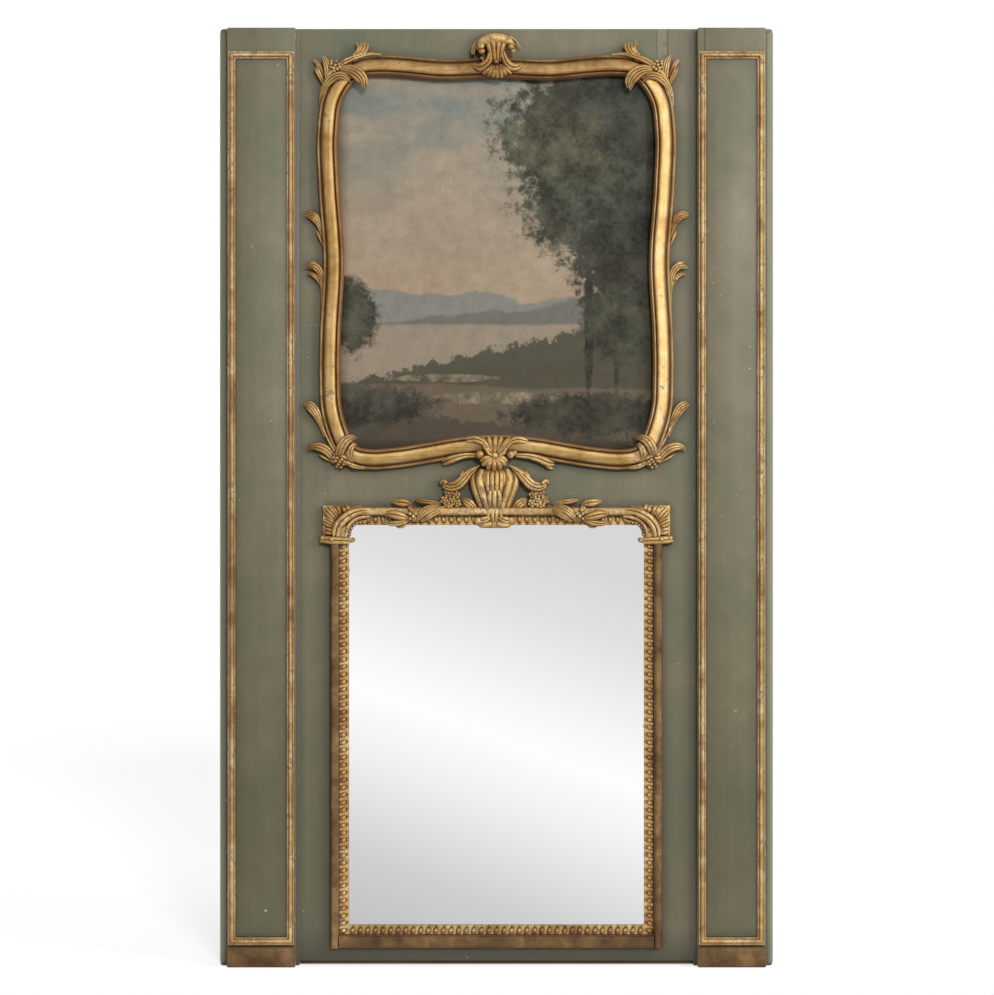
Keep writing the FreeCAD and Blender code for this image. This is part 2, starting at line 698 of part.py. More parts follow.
def make_mirror_frame():
    """Plain bands outside, carved strips inside, butted between the corner blocks."""
    x, y, z = Vector(1, 0, 0), Vector(0, 1, 0), Vector(0, 0, 1)
    band = ("Sizes.mirror_band_width", "Sizes.mirror_band_height")
    foot_band = ("Sizes.mirror_foot_band", "Sizes.mirror_band_height")
    strip = ("Sizes.bead_strip_width", "Sizes.bead_strip_height")
    outside, inside, glass = MIRROR_FRAME_SIDE, BAND_INSIDE, GLASS_SIDE
    side_length = f"({BLOCK_FOOT}) - ({FRAME_FOOT})"
    strip_length = f"({BLOCK_FOOT}) - ({STRIP_FOOT})"
    lying, top, bottom = "2 * ({})", (-z, -y, -x), (z, -y, x)
    left, right = (x, -y, -z), (-x, -y, z)
    bars = [
        ("mirror_frame_left", band, side_length, left, (f"-({outside})", FIELD, BLOCK_FOOT)),
        ("mirror_frame_right", band, side_length, right, (outside, FIELD, FRAME_FOOT)),
        ("mirror_frame_top", band, lying.format(glass), top, (glass, FIELD, FRAME_HEAD)),
        ("mirror_frame_bottom", foot_band, lying.format(inside), bottom, (f"-({inside})", FIELD, FRAME_FOOT)),
    ]
    strips = [
        ("mirror_bead_strip_left", strip, strip_length, left, (f"-({inside})", FIELD, BLOCK_FOOT)),
        ("mirror_bead_strip_right", strip, strip_length, right, (inside, FIELD, STRIP_FOOT)),
        ("mirror_bead_strip_top", strip, lying.format(glass), top, (glass, FIELD, STRIP_HEAD)),
        ("mirror_bead_strip_bottom", strip, lying.format(glass), bottom, (f"-({glass})", FIELD, STRIP_FOOT)),
    ]
    for label, section, length, directions, corner in bars:
        make_rounded_bar(label, section, length, "Sizes.band_rounding", directions, corner)
    for label, section, length, directions, corner in strips:
        make_rounded_bar(label, section, length, "Sizes.bead_rounding", directions, corner)


make_mirror_frame()
doc.recompute()


def piece_named(label):
    return next(piece for piece in pieces if piece.Label == label)


def raised(edges, height):
    """An outline in the plane of the field, raised towards the room."""
    face = Part.Face(Part.Wire(Part.__sortEdges__(edges)))
    return face.extrude(TOWARDS_ROOM * height)


def outline_edges(corners):
    """The closed outline through corners."""
    return [
        Part.LineSegment(first, last).toShape()
        for first, last in zip(corners, corners[1:] + corners[:1])
    ]


def make_corner_block(label, side):
    """The block at a head corner of the mirror, with a spandrel that rounds the glass."""
    glass, outside = number(GLASS_SIDE), number(MIRROR_FRAME_SIDE) + size("corner_block_reach")
    low, high = number(BLOCK_FOOT), number(FRAME_HEAD) + size("corner_block_rise")
    sight = number(STRIP_HEAD) - size("bead_strip_width")
    radius = size("corner_radius")

    def at(x, z):
        return Vector(side * x, field, z)

    corners = [at(glass, low), at(outside, low), at(outside, high), at(glass, high)]
    square = raised(outline_edges(corners), size("corner_block_depth"))
    middle = radius * (1 - math.sqrt(0.5))
    curve = Part.Arc(at(glass - radius, sight), at(glass - middle, sight - middle), at(glass, sight - radius))
    spandrel = [
        curve.toShape(),
        Part.LineSegment(at(glass, sight - radius), at(glass, sight)).toShape(),
        Part.LineSegment(at(glass, sight), at(glass - radius, sight)).toShape(),
    ]
    solid_feature(label, square.fuse(raised(spandrel, size("bead_strip_height"))).removeSplitter())


make_corner_block("left_corner_block", -1)
make_corner_block("right_corner_block", 1)


# ---- What the frames hold ---------------------------------------------------------

GLASS_BACK = FIELD + " + Sizes.glass_thickness"
CANVAS_BACK = FIELD + " + Sizes.canvas_thickness"
PLATE_SIDE = OPENING_SIDE + " - Sizes.plate_clearance"


def fitted_sheet(label, foot, head, thickness):
    """A flat sheet that lies in an opening, against the back of its frame."""
    sheet_piece = block(
        label,
        (f"-({PLATE_SIDE})", FIELD, f"{foot} + Sizes.plate_clearance"),
        (f"2 * ({PLATE_SIDE})", thickness, f"({head}) - ({foot}) - 2 * Sizes.plate_clearance"),
    )
    return keep(sheet_piece, label)


def bars_round(prefix, side, foot, head, back, section):
    """Two upright bars and two between them, inside a rectangle."""
    width, depth = section
    tall = f"({head}) - ({foot})"
    between = f"2 * ({side}) - 2 * {width}"
    inner = f"-({side}) + {width}"
    return [
        block(f"{prefix}_left", (f"-({side})", back, foot), (width, depth, tall)),
        block(f"{prefix}_right", (f"{side} - {width}", back, foot), (width, depth, tall)),
        block(f"{prefix}_lower", (inner, back, foot), (between, depth, width)),
        block(f"{prefix}_upper", (inner, back, f"{head} - {width}"), (between, depth, width)),
    ]


fitted_sheet("mirror_plate", MIRROR_FOOT, MIRROR_HEAD, "Sizes.glass_thickness")
fitted_sheet("picture_canvas", PICTURE_FOOT, PICTURE_HEAD, "Sizes.canvas_thickness")

fillets = bars_round(
    "fillet",
    OPENING_SIDE,
    MIRROR_FOOT,
    MIRROR_HEAD,
    GLASS_BACK,
    ("Sizes.fillet_width", "Sizes.fillet_depth"),
)
keep(group("glass_fillets", fillets), "glass_fillets")

CANVAS_FOOT = PICTURE_FOOT + " + Sizes.plate_clearance"
CANVAS_HEAD = PICTURE_HEAD + " - Sizes.plate_clearance"
stretchers = bars_round(
    "stretcher",
    PLATE_SIDE,
    CANVAS_FOOT,
    CANVAS_HEAD,
    CANVAS_BACK,
    ("Sizes.stretcher_width", "Sizes.stretcher_depth"),
)
cross_bar = block(
    "stretcher_cross_bar",
    (
        f"-({PLATE_SIDE}) + Sizes.stretcher_width",
        CANVAS_BACK,
        f"({PICTURE_FOOT} + {PICTURE_HEAD} - Sizes.stretcher_width) / 2",
    ),
    (
        f"2 * ({PLATE_SIDE}) - 2 * Sizes.stretcher_width",
        "Sizes.stretcher_depth",
        "Sizes.stretcher_width",
    ),
)
keep(group("stretcher_bars", stretchers + [cross_bar]), "stretcher_bars")


# ---- The back ---------------------------------------------------------------------

def make_back_board(label, foot, head):
    board = block(
        label,
        (f"-({OPENING_SIDE} + Sizes.board_overlap)", FRAME_BACK, f"{foot} - Sizes.board_overlap"),
        (
            f"2 * ({OPENING_SIDE} + Sizes.board_overlap)",
            "Sizes.board_thickness",
            f"({head}) - ({foot}) + 2 * Sizes.board_overlap",
        ),
    )
    return keep(board, label)


def batten(label, foot, height):
    side = f"({PANEL_SIDE} - Sizes.batten_inset)"
    return block(label, (f"-{side}", FRAME_BACK, foot), (f"2 * {side}", "Sizes.batten_thickness", height))


make_back_board("mirror_back_board", MIRROR_FOOT, MIRROR_HEAD)
make_back_board("picture_back_board", PICTURE_FOOT, PICTURE_HEAD)
keep(batten("bottom_batten", "0", "Sizes.bottom_batten_height"), "bottom_batten")
MIDDLE_BATTEN_FOOT = f"{MIRROR_HEAD} + Sizes.middle_rail_width / 2 - Sizes.middle_batten_height / 2"
keep(batten("middle_batten", MIDDLE_BATTEN_FOOT, "Sizes.middle_batten_height"), "middle_batten")

TOP_BATTEN_MIDDLE = f"{PICTURE_HEAD} + Sizes.top_rail_width / 2"
HANGER_BACK = f"{WALL} - Sizes.hanger_thickness"


def hanger_recess(name, side, clearance):
    """The place of an iron plate in the batten, or the plate itself with no clearance."""
    return block(
        name,
        (
            f"{side} * Sizes.hanger_spacing / 2 - Sizes.hanger_width / 2 - {clearance}",
            HANGER_BACK,
            f"{TOP_BATTEN_MIDDLE} - Sizes.hanger_height / 2 - {clearance}",
        ),
        (
            f"Sizes.hanger_width + 2 * {clearance}",
            "Sizes.hanger_thickness",
            f"Sizes.hanger_height + 2 * {clearance}",
        ),
    )


def screw_places(side):
    for end in (-1, 1):
        across = f"{side} * Sizes.hanger_spacing / 2 + {end} * Sizes.screw_spacing / 2"
        yield f"{side + 1}_{end + 1}", (across, WALL, TOP_BATTEN_MIDDLE)


def screw(name, place, clearance):
    """A countersunk screw from the wall side, or its hole with a clearance round it."""
    shank = rod(
        f"{name}_shank", f"Sizes.screw_diameter / 2 + {clearance}", "Sizes.screw_length", place, TOWARDS_ROOM
    )
    countersink = doc.addObject("Part::Cone", f"{name}_head")
    radii = {
        "Radius1": f"Sizes.screw_head / 2 + {clearance}",
        "Radius2": f"Sizes.screw_diameter / 2 + {clearance}",
        "Height": "Sizes.hanger_thickness",
    }
    bind(countersink, radii)
    countersink.Placement.Rotation = FreeCAD.Rotation(Vector(0, 0, 1), TOWARDS_ROOM)
    paths = ("Placement.Base.x", "Placement.Base.y", "Placement.Base.z")
    bind(countersink, dict(zip(paths, place)))
    return join(name, [shank, countersink])


batten_cuts = []
screws = []
for hand, hand_side in (("left", -1), ("right", 1)):
    middle = (f"{hand_side} * Sizes.hanger_spacing / 2", WALL, TOP_BATTEN_MIDDLE)
    batten_cuts.append(hanger_recess(f"{hand}_hanger_recess", hand_side, "Sizes.joint_clearance"))
    pocket = f"{hand}_hanger_pocket"
    depth = "Sizes.hanger_thickness + Sizes.hanger_pocket_depth"
    batten_cuts.append(rod(pocket, "Sizes.hanger_pocket / 2", depth, middle, TOWARDS_ROOM))
    hole = rod(f"{hand}_hanger_hole", "Sizes.hanger_hole / 2", "Sizes.hanger_thickness", middle, TOWARDS_ROOM)
    plate_cuts = [hole]
    for name, place in screw_places(hand_side):
        batten_cuts.append(screw(f"batten_screw_hole_{name}", place, "Sizes.joint_clearance"))
        plate_cuts.append(screw(f"plate_screw_hole_{name}", place, "Sizes.joint_clearance"))
        screws.append(screw(f"hanger_screw_{name}", place, "0"))
    plate = hanger_recess(f"{hand}_hanger_blank", hand_side, "0")
    plate_tool = join(f"{hand}_hanger_cuts", plate_cuts)
    keep(cut(f"{hand}_hanging_plate", plate, plate_tool), f"{hand}_hanging_plate")
keep(group("hanging_plate_screws", screws), "hanging_plate_screws")
TOP_BATTEN_FOOT = f"{TOP_BATTEN_MIDDLE} - Sizes.top_batten_height / 2"
batten_blank = batten("top_batten_board", TOP_BATTEN_FOOT, "Sizes.top_batten_height")
keep(cut("top_batten", batten_blank, join("top_batten_cuts", batten_cuts)), "top_batten")


# ---- Carving ----------------------------------------------------------------------
# Each carving is a handful of reeds: tapering strokes with a round tip, three points
# and three half-widths each, raised from the field. Points are millimetres across and
# up from the carving's own root. Those over a bar are cut to sit down on it.

def round_through(start, crown, end):
    """The arc through three points, or a line where they are in a row."""
    if (crown - start).cross(end - start).Length < 0.01 * (end - start).Length:
        return Part.LineSegment(start, end).toShape()
    return Part.Arc(start, crown, end).toShape()


def reed(root, points, widths, height, mirror=1):
    """One tapering stroke from its root to its round tip."""
    start, crown, end = [Vector(root[0] + mirror * x, field, root[1] + z) for x, z in points]
    before, after = crown - start, end - crown
    bend = unit(before / before.Length**2 + after / after.Length**2)
    leaving = unit(before) * (2 * unit(before).dot(bend)) - bend
    arriving = unit(after) * (2 * unit(after).dot(bend)) - bend
    sides = []
    for hand in (-1, 1):
        sides.append(
            [
                point + direction.cross(TOWARDS_ROOM) * (hand * width)
                for point, direction, width in zip((start, crown, end), (leaving, bend, arriving), widths)
            ]
        )
    near, far = sides
    edges = [
        round_through(*near),
        round_through(near[2], end + arriving * widths[2], far[2]),
        round_through(*far),
        Part.LineSegment(far[0], near[0]).toShape(),
    ]
    return raised(edges, height)


def berry(root, place, height, mirror=1):
    """A berry on its stalk, from the field to height over it."""
    radius = size("berry_radius")
    centre = Vector(root[0] + mirror * place[0], field, root[1] + place[1])
    return Part.makeCone(radius, radius * 0.6, height, centre, TOWARDS_ROOM)


def boss(root, place, radius, height, mirror=1):
    """A low round core that ties a carving together."""
    centre = Vector(root[0] + mirror * place[0], field, root[1] + place[1])
    return Part.makeCylinder(radius, height, centre, TOWARDS_ROOM)


def cut_to_sit(carving, seats):
    """Cuts a carving to sit on the pieces under it.

    A stroke that starts low inside a bar leaves a crumb in the bar's groove, so only the
    carving itself, the largest solid, is kept.
    """
    return max(carving.cut(seats).Solids, key=lambda solid: solid.Volume)


def carve(solids, seats):
    """Fuses the strokes of one carving, and cuts it to sit where it lies over others."""
    carving = solids[0].multiFuse(solids[1:])
    return cut_to_sit(carving, seats) if seats else carving.Solids[0]


def keep_pair(name, left, middle=0):
    """A carving on the left and its mirror image on the right."""
    solid_feature(f"left_{name}", left)
    solid_feature(f"right_{name}", left.mirror(Vector(middle, 0, 0), Vector(1, 0, 0)))


LEAF = size("leaf_height")
WRAP = size("wrap_height")


def make_upper_acanthus():
    """Where a side bar meets the top bar: two leaves, berries and a leaf over the bar."""
    root = (left_upper_corner.x, left_upper_corner.z)
    reeds = [
        ([(20, 18), (32, 42), (38, 60)], (6, 6, 3), LEAF),
        ([(26, 18), (44, 38), (54, 56)], (6, 6, 3), LEAF),
        ([(26, 12), (52, 26), (66, 46)], (6, 5, 3), LEAF),
        ([(-16, -22), (-30, 8), (-44, 30)], (6, 6, 3), LEAF),
        ([(-10, -18), (-19, 10), (-24, 34)], (6, 6, 3), LEAF),
        ([(-20, -38), (-35, -12), (-46, 8)], (6, 5, 3), LEAF),
        ([(-8, 0), (30, -2), (58, -36)], (9, 6, 3), WRAP),
        ([(-10, -14), (20, -12), (48, -22)], (9, 6, 3), WRAP),
        ([(-14, -24), (6, -18), (28, -27)], (8, 5, 3), WRAP),
        ([(-22, -32), (-8, -14), (14, 4)], (10, 9, 8), WRAP - 4),
    ]
    berries = [(-6, 22), (3, 18), (11, 14), (-4, 11), (7, 5), (18, 9)]
    solids = [boss(root, (2, 4), 22, LEAF + 5)]
    solids += [reed(root, *stroke) for stroke in reeds]
    solids += [berry(root, place, LEAF + 13) for place in berries]
    keep_pair("upper_corner_acanthus", carve(solids, [picture_bars["top"], picture_bars["left"]]))


def make_lower_acanthus():
    """Where a side bar meets the bottom bar: a tall leaf, a curled leaf and a wrap."""
    root = (left_lower_corner.x, left_lower_corner.z)
    reeds = [
        ([(-22, 28), (-50, 80), (-78, 118)], (7, 6, 3), LEAF),
        ([(-28, 26), (-48, 66), (-66, 104)], (7, 6, 3), LEAF),
        ([(-32, 22), (-60, 64), (-76, 92)], (7, 5, 3), LEAF),
        ([(-10, 6), (-44, 36), (-70, 20)], (9, 7, 4), LEAF),
        ([(-12, -2), (-40, 20), (-66, 14)], (8, 6, 3), LEAF),
        ([(-14, 22), (10, 42), (36, 48)], (9, 7, 4), WRAP),
        ([(-2, 10), (16, 28), (32, 38)], (9, 7, 4), WRAP),
        ([(10, -4), (22, 16), (28, 30)], (9, 7, 4), WRAP),
        ([(-28, 26), (-10, 8), (8, -8)], (9, 9, 8), WRAP - 4),
    ]
    berries = [(-18, 4), (-8, 0), (2, -6), (-12, -8), (-2, -12), (10, -9)]
    solids = [boss(root, (-6, 2), 20, LEAF + 5)]
    solids += [reed(root, *stroke) for stroke in reeds]
    solids += [berry(root, place, LEAF + 13) for place in berries]
    keep_pair("lower_corner_acanthus", carve(solids, [picture_bars["bottom"], picture_bars["left"]]))


def make_leaf_spray():
    """A slender stem on the waist of a side bar, with a leaf at each end."""
    root = (size("picture_waist") - half, (head + foot) / 2)
    reeds = [
        ([(-2, 40), (-3, 0), (-4, -74)], (6, 6, 5), LEAF + 2),
        ([(2, 30), (-13, 80), (-38, 100)], (6, 7, 3), LEAF),
        ([(0, 24), (-3, 50), (-13, 72)], (6, 6, 3), LEAF),
        ([(0, -64), (-8, -14), (-34, 6)], (6, 7, 3), LEAF),
        ([(0, -64), (-15, -22), (-40, -6)], (6, 6, 3), LEAF),
        ([(0, -64), (-13, -36), (-30, -20)], (6, 5, 3), LEAF),
    ]
    solids = [reed(root, *stroke) for stroke in reeds]
    keep_pair("leaf_spray", carve(solids, [picture_bars["left"]]))


def make_shell_crest():
    """The pierced shell at the middle of the top bar."""
    root = (size("carving_offset"), outline_points[0].z)
    tall = size("crest_height")
    solids = [reed(root, [(0, -46), (0, -6), (0, 42)], (8, 8, 6), tall)]
    for mirror in (-1, 1):
        reeds = [
            ([(13, -42), (15, -6), (22, 34)], (8, 8, 6), tall - 1),
            ([(18, -26), (34, -6), (42, 26)], (8, 8, 6), tall - 2),
            ([(10, -22), (22, -36), (32, -44)], (8, 8, 4), tall - 3),
            ([(16, -26), (34, -26), (48, -36)], (7, 6, 3), tall - 4),
        ]
        solids += [reed(root, *stroke, mirror) for stroke in reeds]
        solids.append(boss(root, (38, 14), 12, tall - 6, mirror))
        solids.append(berry(root, (38, 14), tall - 1, mirror))
    solid_feature("shell_crest", carve(solids, [picture_bars["top"]]))


def make_bottom_palmette():
    """The fan at the middle of the bottom bar, with fronds that run under the bar."""
    root = (size("carving_offset"), foot + 29)
    tall = size("crest_height")
    solids = [boss(root, (0, 4), 18, tall - 3)]
    solids.append(reed(root, [(0, 0), (0, 20), (0, 40)], (6, 7, 5), tall))
    for mirror in (-1, 1):
        reeds = [
            ([(4, 0), (10, 18), (15, 36)], (6, 7, 4), tall - 1),
            ([(8, -2), (19, 12), (29, 26)], (6, 6, 4), tall - 2),
            ([(12, 12), (44, 24), (66, 23)], (9, 7, 4), tall - 3),
            ([(4, -2), (18, 4), (32, 0)], (8, 8, 6), tall - 2),
            ([(10, -12), (70, 1), (112, -20)], (8, 6, 8), LEAF + 3),
            ([(0, 0), (5, -12), (11, -22)], (7, 7, 4), tall - 4),
        ]
        solids += [reed(root, *stroke, mirror) for stroke in reeds]
        solids.append(berry(root, (32, 2), tall, mirror))
    solid_feature("bottom_palmette", carve(solids, [picture_bars["bottom"]]))


def make_vase():
    """The vase of the cartouche, turned in the round and cut flat against the field."""
    radius = size("vase_radius")
    tall = size("vase_height")
    behind = radius - size("vase_relief")
    mouth = foot
    middle = size("carving_offset")
    axis_depth = field + behind

    def at(across, drop):
        return Vector(middle + across * radius, axis_depth, mouth - drop * tall)

    outline = [
        Part.LineSegment(at(0, 0), at(0.62, 0)),
        Part.LineSegment(at(0.62, 0), at(0.79, 0.04)),
        Part.Arc(at(0.79, 0.04), at(1, 0.275), at(0.79, 0.51)),
        Part.Arc(at(0.79, 0.51), at(0.65, 0.68), at(0.7, 0.82)),
        Part.LineSegment(at(0.7, 0.82), at(0.25, 0.93)),
        Part.LineSegment(at(0.25, 0.93), at(0, 1)),
        Part.LineSegment(at(0, 1), at(0, 0)),
    ]
    face = Part.Face(Part.Wire([edge.toShape() for edge in outline]))
    turned = face.revolve(at(0, 0), Vector(0, 0, 1), 360)
    corner = Vector(middle - radius, field, mouth - tall)
    behind_field = Part.makeBox(2 * radius, behind + radius, tall, corner)
    solid_feature("cartouche_vase", cut_to_sit(turned, [behind_field] + mirror_bars))


def make_scroll_arm():
    """An arm beside the vase that curls round a bunch of flowers."""
    root = (size("carving_offset") - size("vase_radius") + 1, foot + 3)
    height = size("arm_height")
    reeds = [
        ([(-4, 6), (-13, -25), (-42, -32)], (7, 7, 8), height),
        ([(-36, -34), (-50, -30), (-64, -38)], (7, 8, 7), height - 1),
        ([(-62, -37), (-61, -48), (-50, -54)], (6, 6, 6), height - 5),
        ([(-48, -55), (-36, -64), (-24, -72)], (7, 7, 4), height - 6),
        ([(-32, -62), (-16, -69), (-5, -65)], (6, 6, 5), height - 7),
    ]
    flowers = [(-56, -51), (-46, -50), (-52, -61), (-41, -61), (-34, -67), (-44, -69)]
    solids = [reed(root, *stroke) for stroke in reeds]
    solids.append(boss(root, (-45, -58), 12, height - 8))
    solids += [berry(root, place, height - 2) for place in flowers]
    keep_pair("scroll_arm", carve(solids, []), size("carving_offset"))


def make_laurel_sprig():
    """A sprig of laurel laid across the head of the mirror frame."""
    root = (135 - number(GLASS_SIDE), number(FRAME_HEAD) - 10)
    height = size("sprig_height")
    reeds = [
        ([(44, 12), (6, 2), (-50, -12)], (4, 4, 4), height - 2),
        ([(-2, 14), (22, 24), (44, 24)], (6, 7, 3), height),
        ([(4, 8), (-26, 17), (-54, 25)], (5, 7, 3), height),
        ([(-4, 0), (-36, -4), (-64, -8)], (6, 8, 4), height),
        ([(-4, -6), (-34, -24), (-68, -28)], (5, 7, 3), height),
        ([(44, 14), (28, 4), (6, -12)], (4, 6, 5), height),
    ]
    solids = [reed(root, *stroke) for stroke in reeds]
    solids.append(berry(root, (-11, 0), height + 3))
    keep_pair("laurel_sprig", carve(solids, mirror_bars))


mirror_bars = [piece_named(label).Shape for label in ("mirror_frame_top", "mirror_bead_strip_top")]
make_shell_crest()
make_bottom_palmette()
make_upper_acanthus()
make_lower_acanthus()
make_leaf_spray()
make_vase()
make_scroll_arm()
make_laurel_sprig()


# ---- Checks and files -------------------------------------------------------------

doc.recompute()
for piece in pieces:
    if "Invalid" in piece.State or "Error" in piece.State:
        raise ValueError(f"{piece.Label}: {piece.State}")
    if piece.Shape.isNull() or not piece.Shape.isValid():
        raise ValueError(f"{piece.Label}: no valid shape")
os.makedirs("parts", exist_ok=True)
for piece in pieces:
    piece.Shape.exportStep(f"parts/{piece.Label}.step")
print(len(pieces), "pieces")
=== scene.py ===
import math

import bmesh
import bpy
from mathutils import Matrix, Vector


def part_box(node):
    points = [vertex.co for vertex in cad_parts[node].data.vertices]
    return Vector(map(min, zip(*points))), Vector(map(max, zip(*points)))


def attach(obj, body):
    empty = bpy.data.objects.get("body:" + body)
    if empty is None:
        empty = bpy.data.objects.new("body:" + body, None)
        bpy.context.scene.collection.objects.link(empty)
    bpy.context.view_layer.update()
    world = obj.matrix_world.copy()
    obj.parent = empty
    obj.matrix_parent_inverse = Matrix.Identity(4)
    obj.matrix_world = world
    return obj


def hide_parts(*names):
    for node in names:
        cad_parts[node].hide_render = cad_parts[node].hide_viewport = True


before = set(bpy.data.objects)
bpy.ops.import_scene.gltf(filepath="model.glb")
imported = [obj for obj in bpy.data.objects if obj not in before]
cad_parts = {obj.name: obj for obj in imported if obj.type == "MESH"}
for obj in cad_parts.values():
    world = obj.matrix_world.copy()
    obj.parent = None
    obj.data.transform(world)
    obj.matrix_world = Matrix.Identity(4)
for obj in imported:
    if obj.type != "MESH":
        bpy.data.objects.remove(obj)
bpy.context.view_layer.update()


# The joined panel: stiles and rails of pine, tenoned together, primed with gesso and
# brushed with several coats of a grey-green oil paint. Two centuries have toned it:
# greener where it was sheltered, browner where it was handled. It is painted darker
# towards the floor, a painted shade, and dirt and painted shade darken its corners.

MM = 0.001
PAINT = "#767158"
PAINT_SHELTERED = "#6c7056"
PAINT_HANDLED = "#80775e"
PAINT_LOW_SHADE = "#55543f"
PAINT_PATCH = "#8f8b75"
PAINT_SIDE_LIGHT = "#a8a593"
PAINT_DIRT_AND_SHADE = "#3f3c2d"
GESSO = "#cfc6a8"
BARE_PINE = "#8a7453"
BARE_PINE_DARK = "#665238"
SEAM = 331 * MM
SEAM_STRIP = 22 * MM


def linear(code):
    """A colour from a paint chart's sRGB hex to the linear values that nodes take."""
    parts = [int(code[place:place + 2], 16) / 255 for place in (1, 3, 5)]
    return [p / 12.92 if p <= 0.04045 else ((p + 0.055) / 1.055) ** 2.4 for p in parts] + [1]


def feed(tree, node, inputs):
    """Gives a node's inputs their values, or links them to other nodes."""
    for name, value in inputs.items():
        if isinstance(value, bpy.types.Node):
            value = value.outputs[0]
        if isinstance(value, bpy.types.NodeSocket):
            tree.links.new(value, node.inputs[name])
        else:
            node.inputs[name].default_value = linear(value) if isinstance(value, str) else value


def add(tree, kind, inputs={}, stops=(), **settings):
    """Adds a node: its settings, a ramp's stops, and its inputs."""
    node = tree.nodes.new("ShaderNode" + kind)
    for name, value in settings.items():
        setattr(node, name, value)
    for place, (position, colour) in enumerate(stops):
        ramp = node.color_ramp.elements
        stop = ramp[place] if place < 2 else ramp.new(position)
        stop.position = position
        stop.color = linear(colour)
    feed(tree, node, inputs)
    return node


def new_finish(name):
    """An empty finish with its shader, and the place on the piece that its patterns follow."""
    finish = bpy.data.materials.new(name)
    finish.use_nodes = True
    tree = finish.node_tree
    return finish, tree, tree.nodes["Principled BSDF"], add(tree, "TexCoord").outputs["Object"]


def opened_seams(tree, tone, across, height, streak, cracks, patch):
    """Cracks between and along boards, and the paler strip that was painted again beside one."""
    if patch:
        strip = add(tree, "Math", {0: across, 1: SEAM, 2: SEAM_STRIP / 2}, operation="COMPARE")
        above = add(tree, "MapRange", {"Value": height, 1: 1.7, 2: 1.75, 3: 0, 4: patch})
        paler = add(tree, "Math", {0: strip, 1: above}, operation="MULTIPLY")
        tone = add(tree, "MixRGB", {"Fac": paler, "Color1": tone, "Color2": PAINT_PATCH})
    shaken = add(tree, "Math", {0: streak, 1: 3 * MM, 2: across}, operation="MULTIPLY_ADD")
    for x, width, start in cracks:
        off = add(tree, "Math", {0: shaken, 1: x + 1.5 * MM}, operation="SUBTRACT")
        off = add(tree, "Math", {0: off}, operation="ABSOLUTE")
        line = add(tree, "MapRange", {"Value": off, 1: width, 2: width / 3, 3: 0, 4: 0.75})
        high = add(tree, "Math", {0: height, 1: start}, operation="GREATER_THAN")
        opened = add(tree, "Math", {0: line, 1: high}, operation="MULTIPLY")
        tone = add(tree, "MixRGB", {"Fac": opened, "Color1": tone, "Color2": PAINT_DIRT_AND_SHADE})
    return tone


def chipped_edges(tree, tone, place, loss):
    """Sideways faces painted paler, a painted light, and chips down to the gesso: the tone and the loss
    of paint.
    """
    rounded = add(tree, "Bevel", {"Radius": 2.5 * MM}, samples=4)
    true_face = add(tree, "NewGeometry").outputs["Normal"]
    flat = add(tree, "VectorMath", {0: rounded, 1: true_face}, operation="DOT_PRODUCT")
    edge = add(tree, "MapRange", {"Value": flat.outputs["Value"], 1: 0.995, 2: 0.9, 3: 0, 4: 0.16})
    rough = add(tree, "TexNoise", {"Vector": place, "Scale": 38, "Detail": 5})
    near = add(tree, "Math", {0: rough, 1: edge}, operation="ADD")
    chip = add(tree, "MapRange", {"Value": near, 1: 0.74, 2: 0.77, 3: 0, 4: 0.9})
    # Painted light: faces turned sideways are painted paler.
    sideways = add(tree, "SeparateXYZ", {"Vector": true_face}).outputs["X"]
    aside = add(tree, "Math", {0: sideways}, operation="ABSOLUTE")
    side_light = add(tree, "MapRange", {"Value": aside, 1: 0.1, 2: 0.8, 3: 0, 4: 0.55})
    tone = add(tree, "MixRGB", {"Fac": side_light, "Color1": tone, "Color2": PAINT_SIDE_LIGHT})
    return tone, add(tree, "Math", {0: loss, 1: chip}, operation="MAXIMUM")


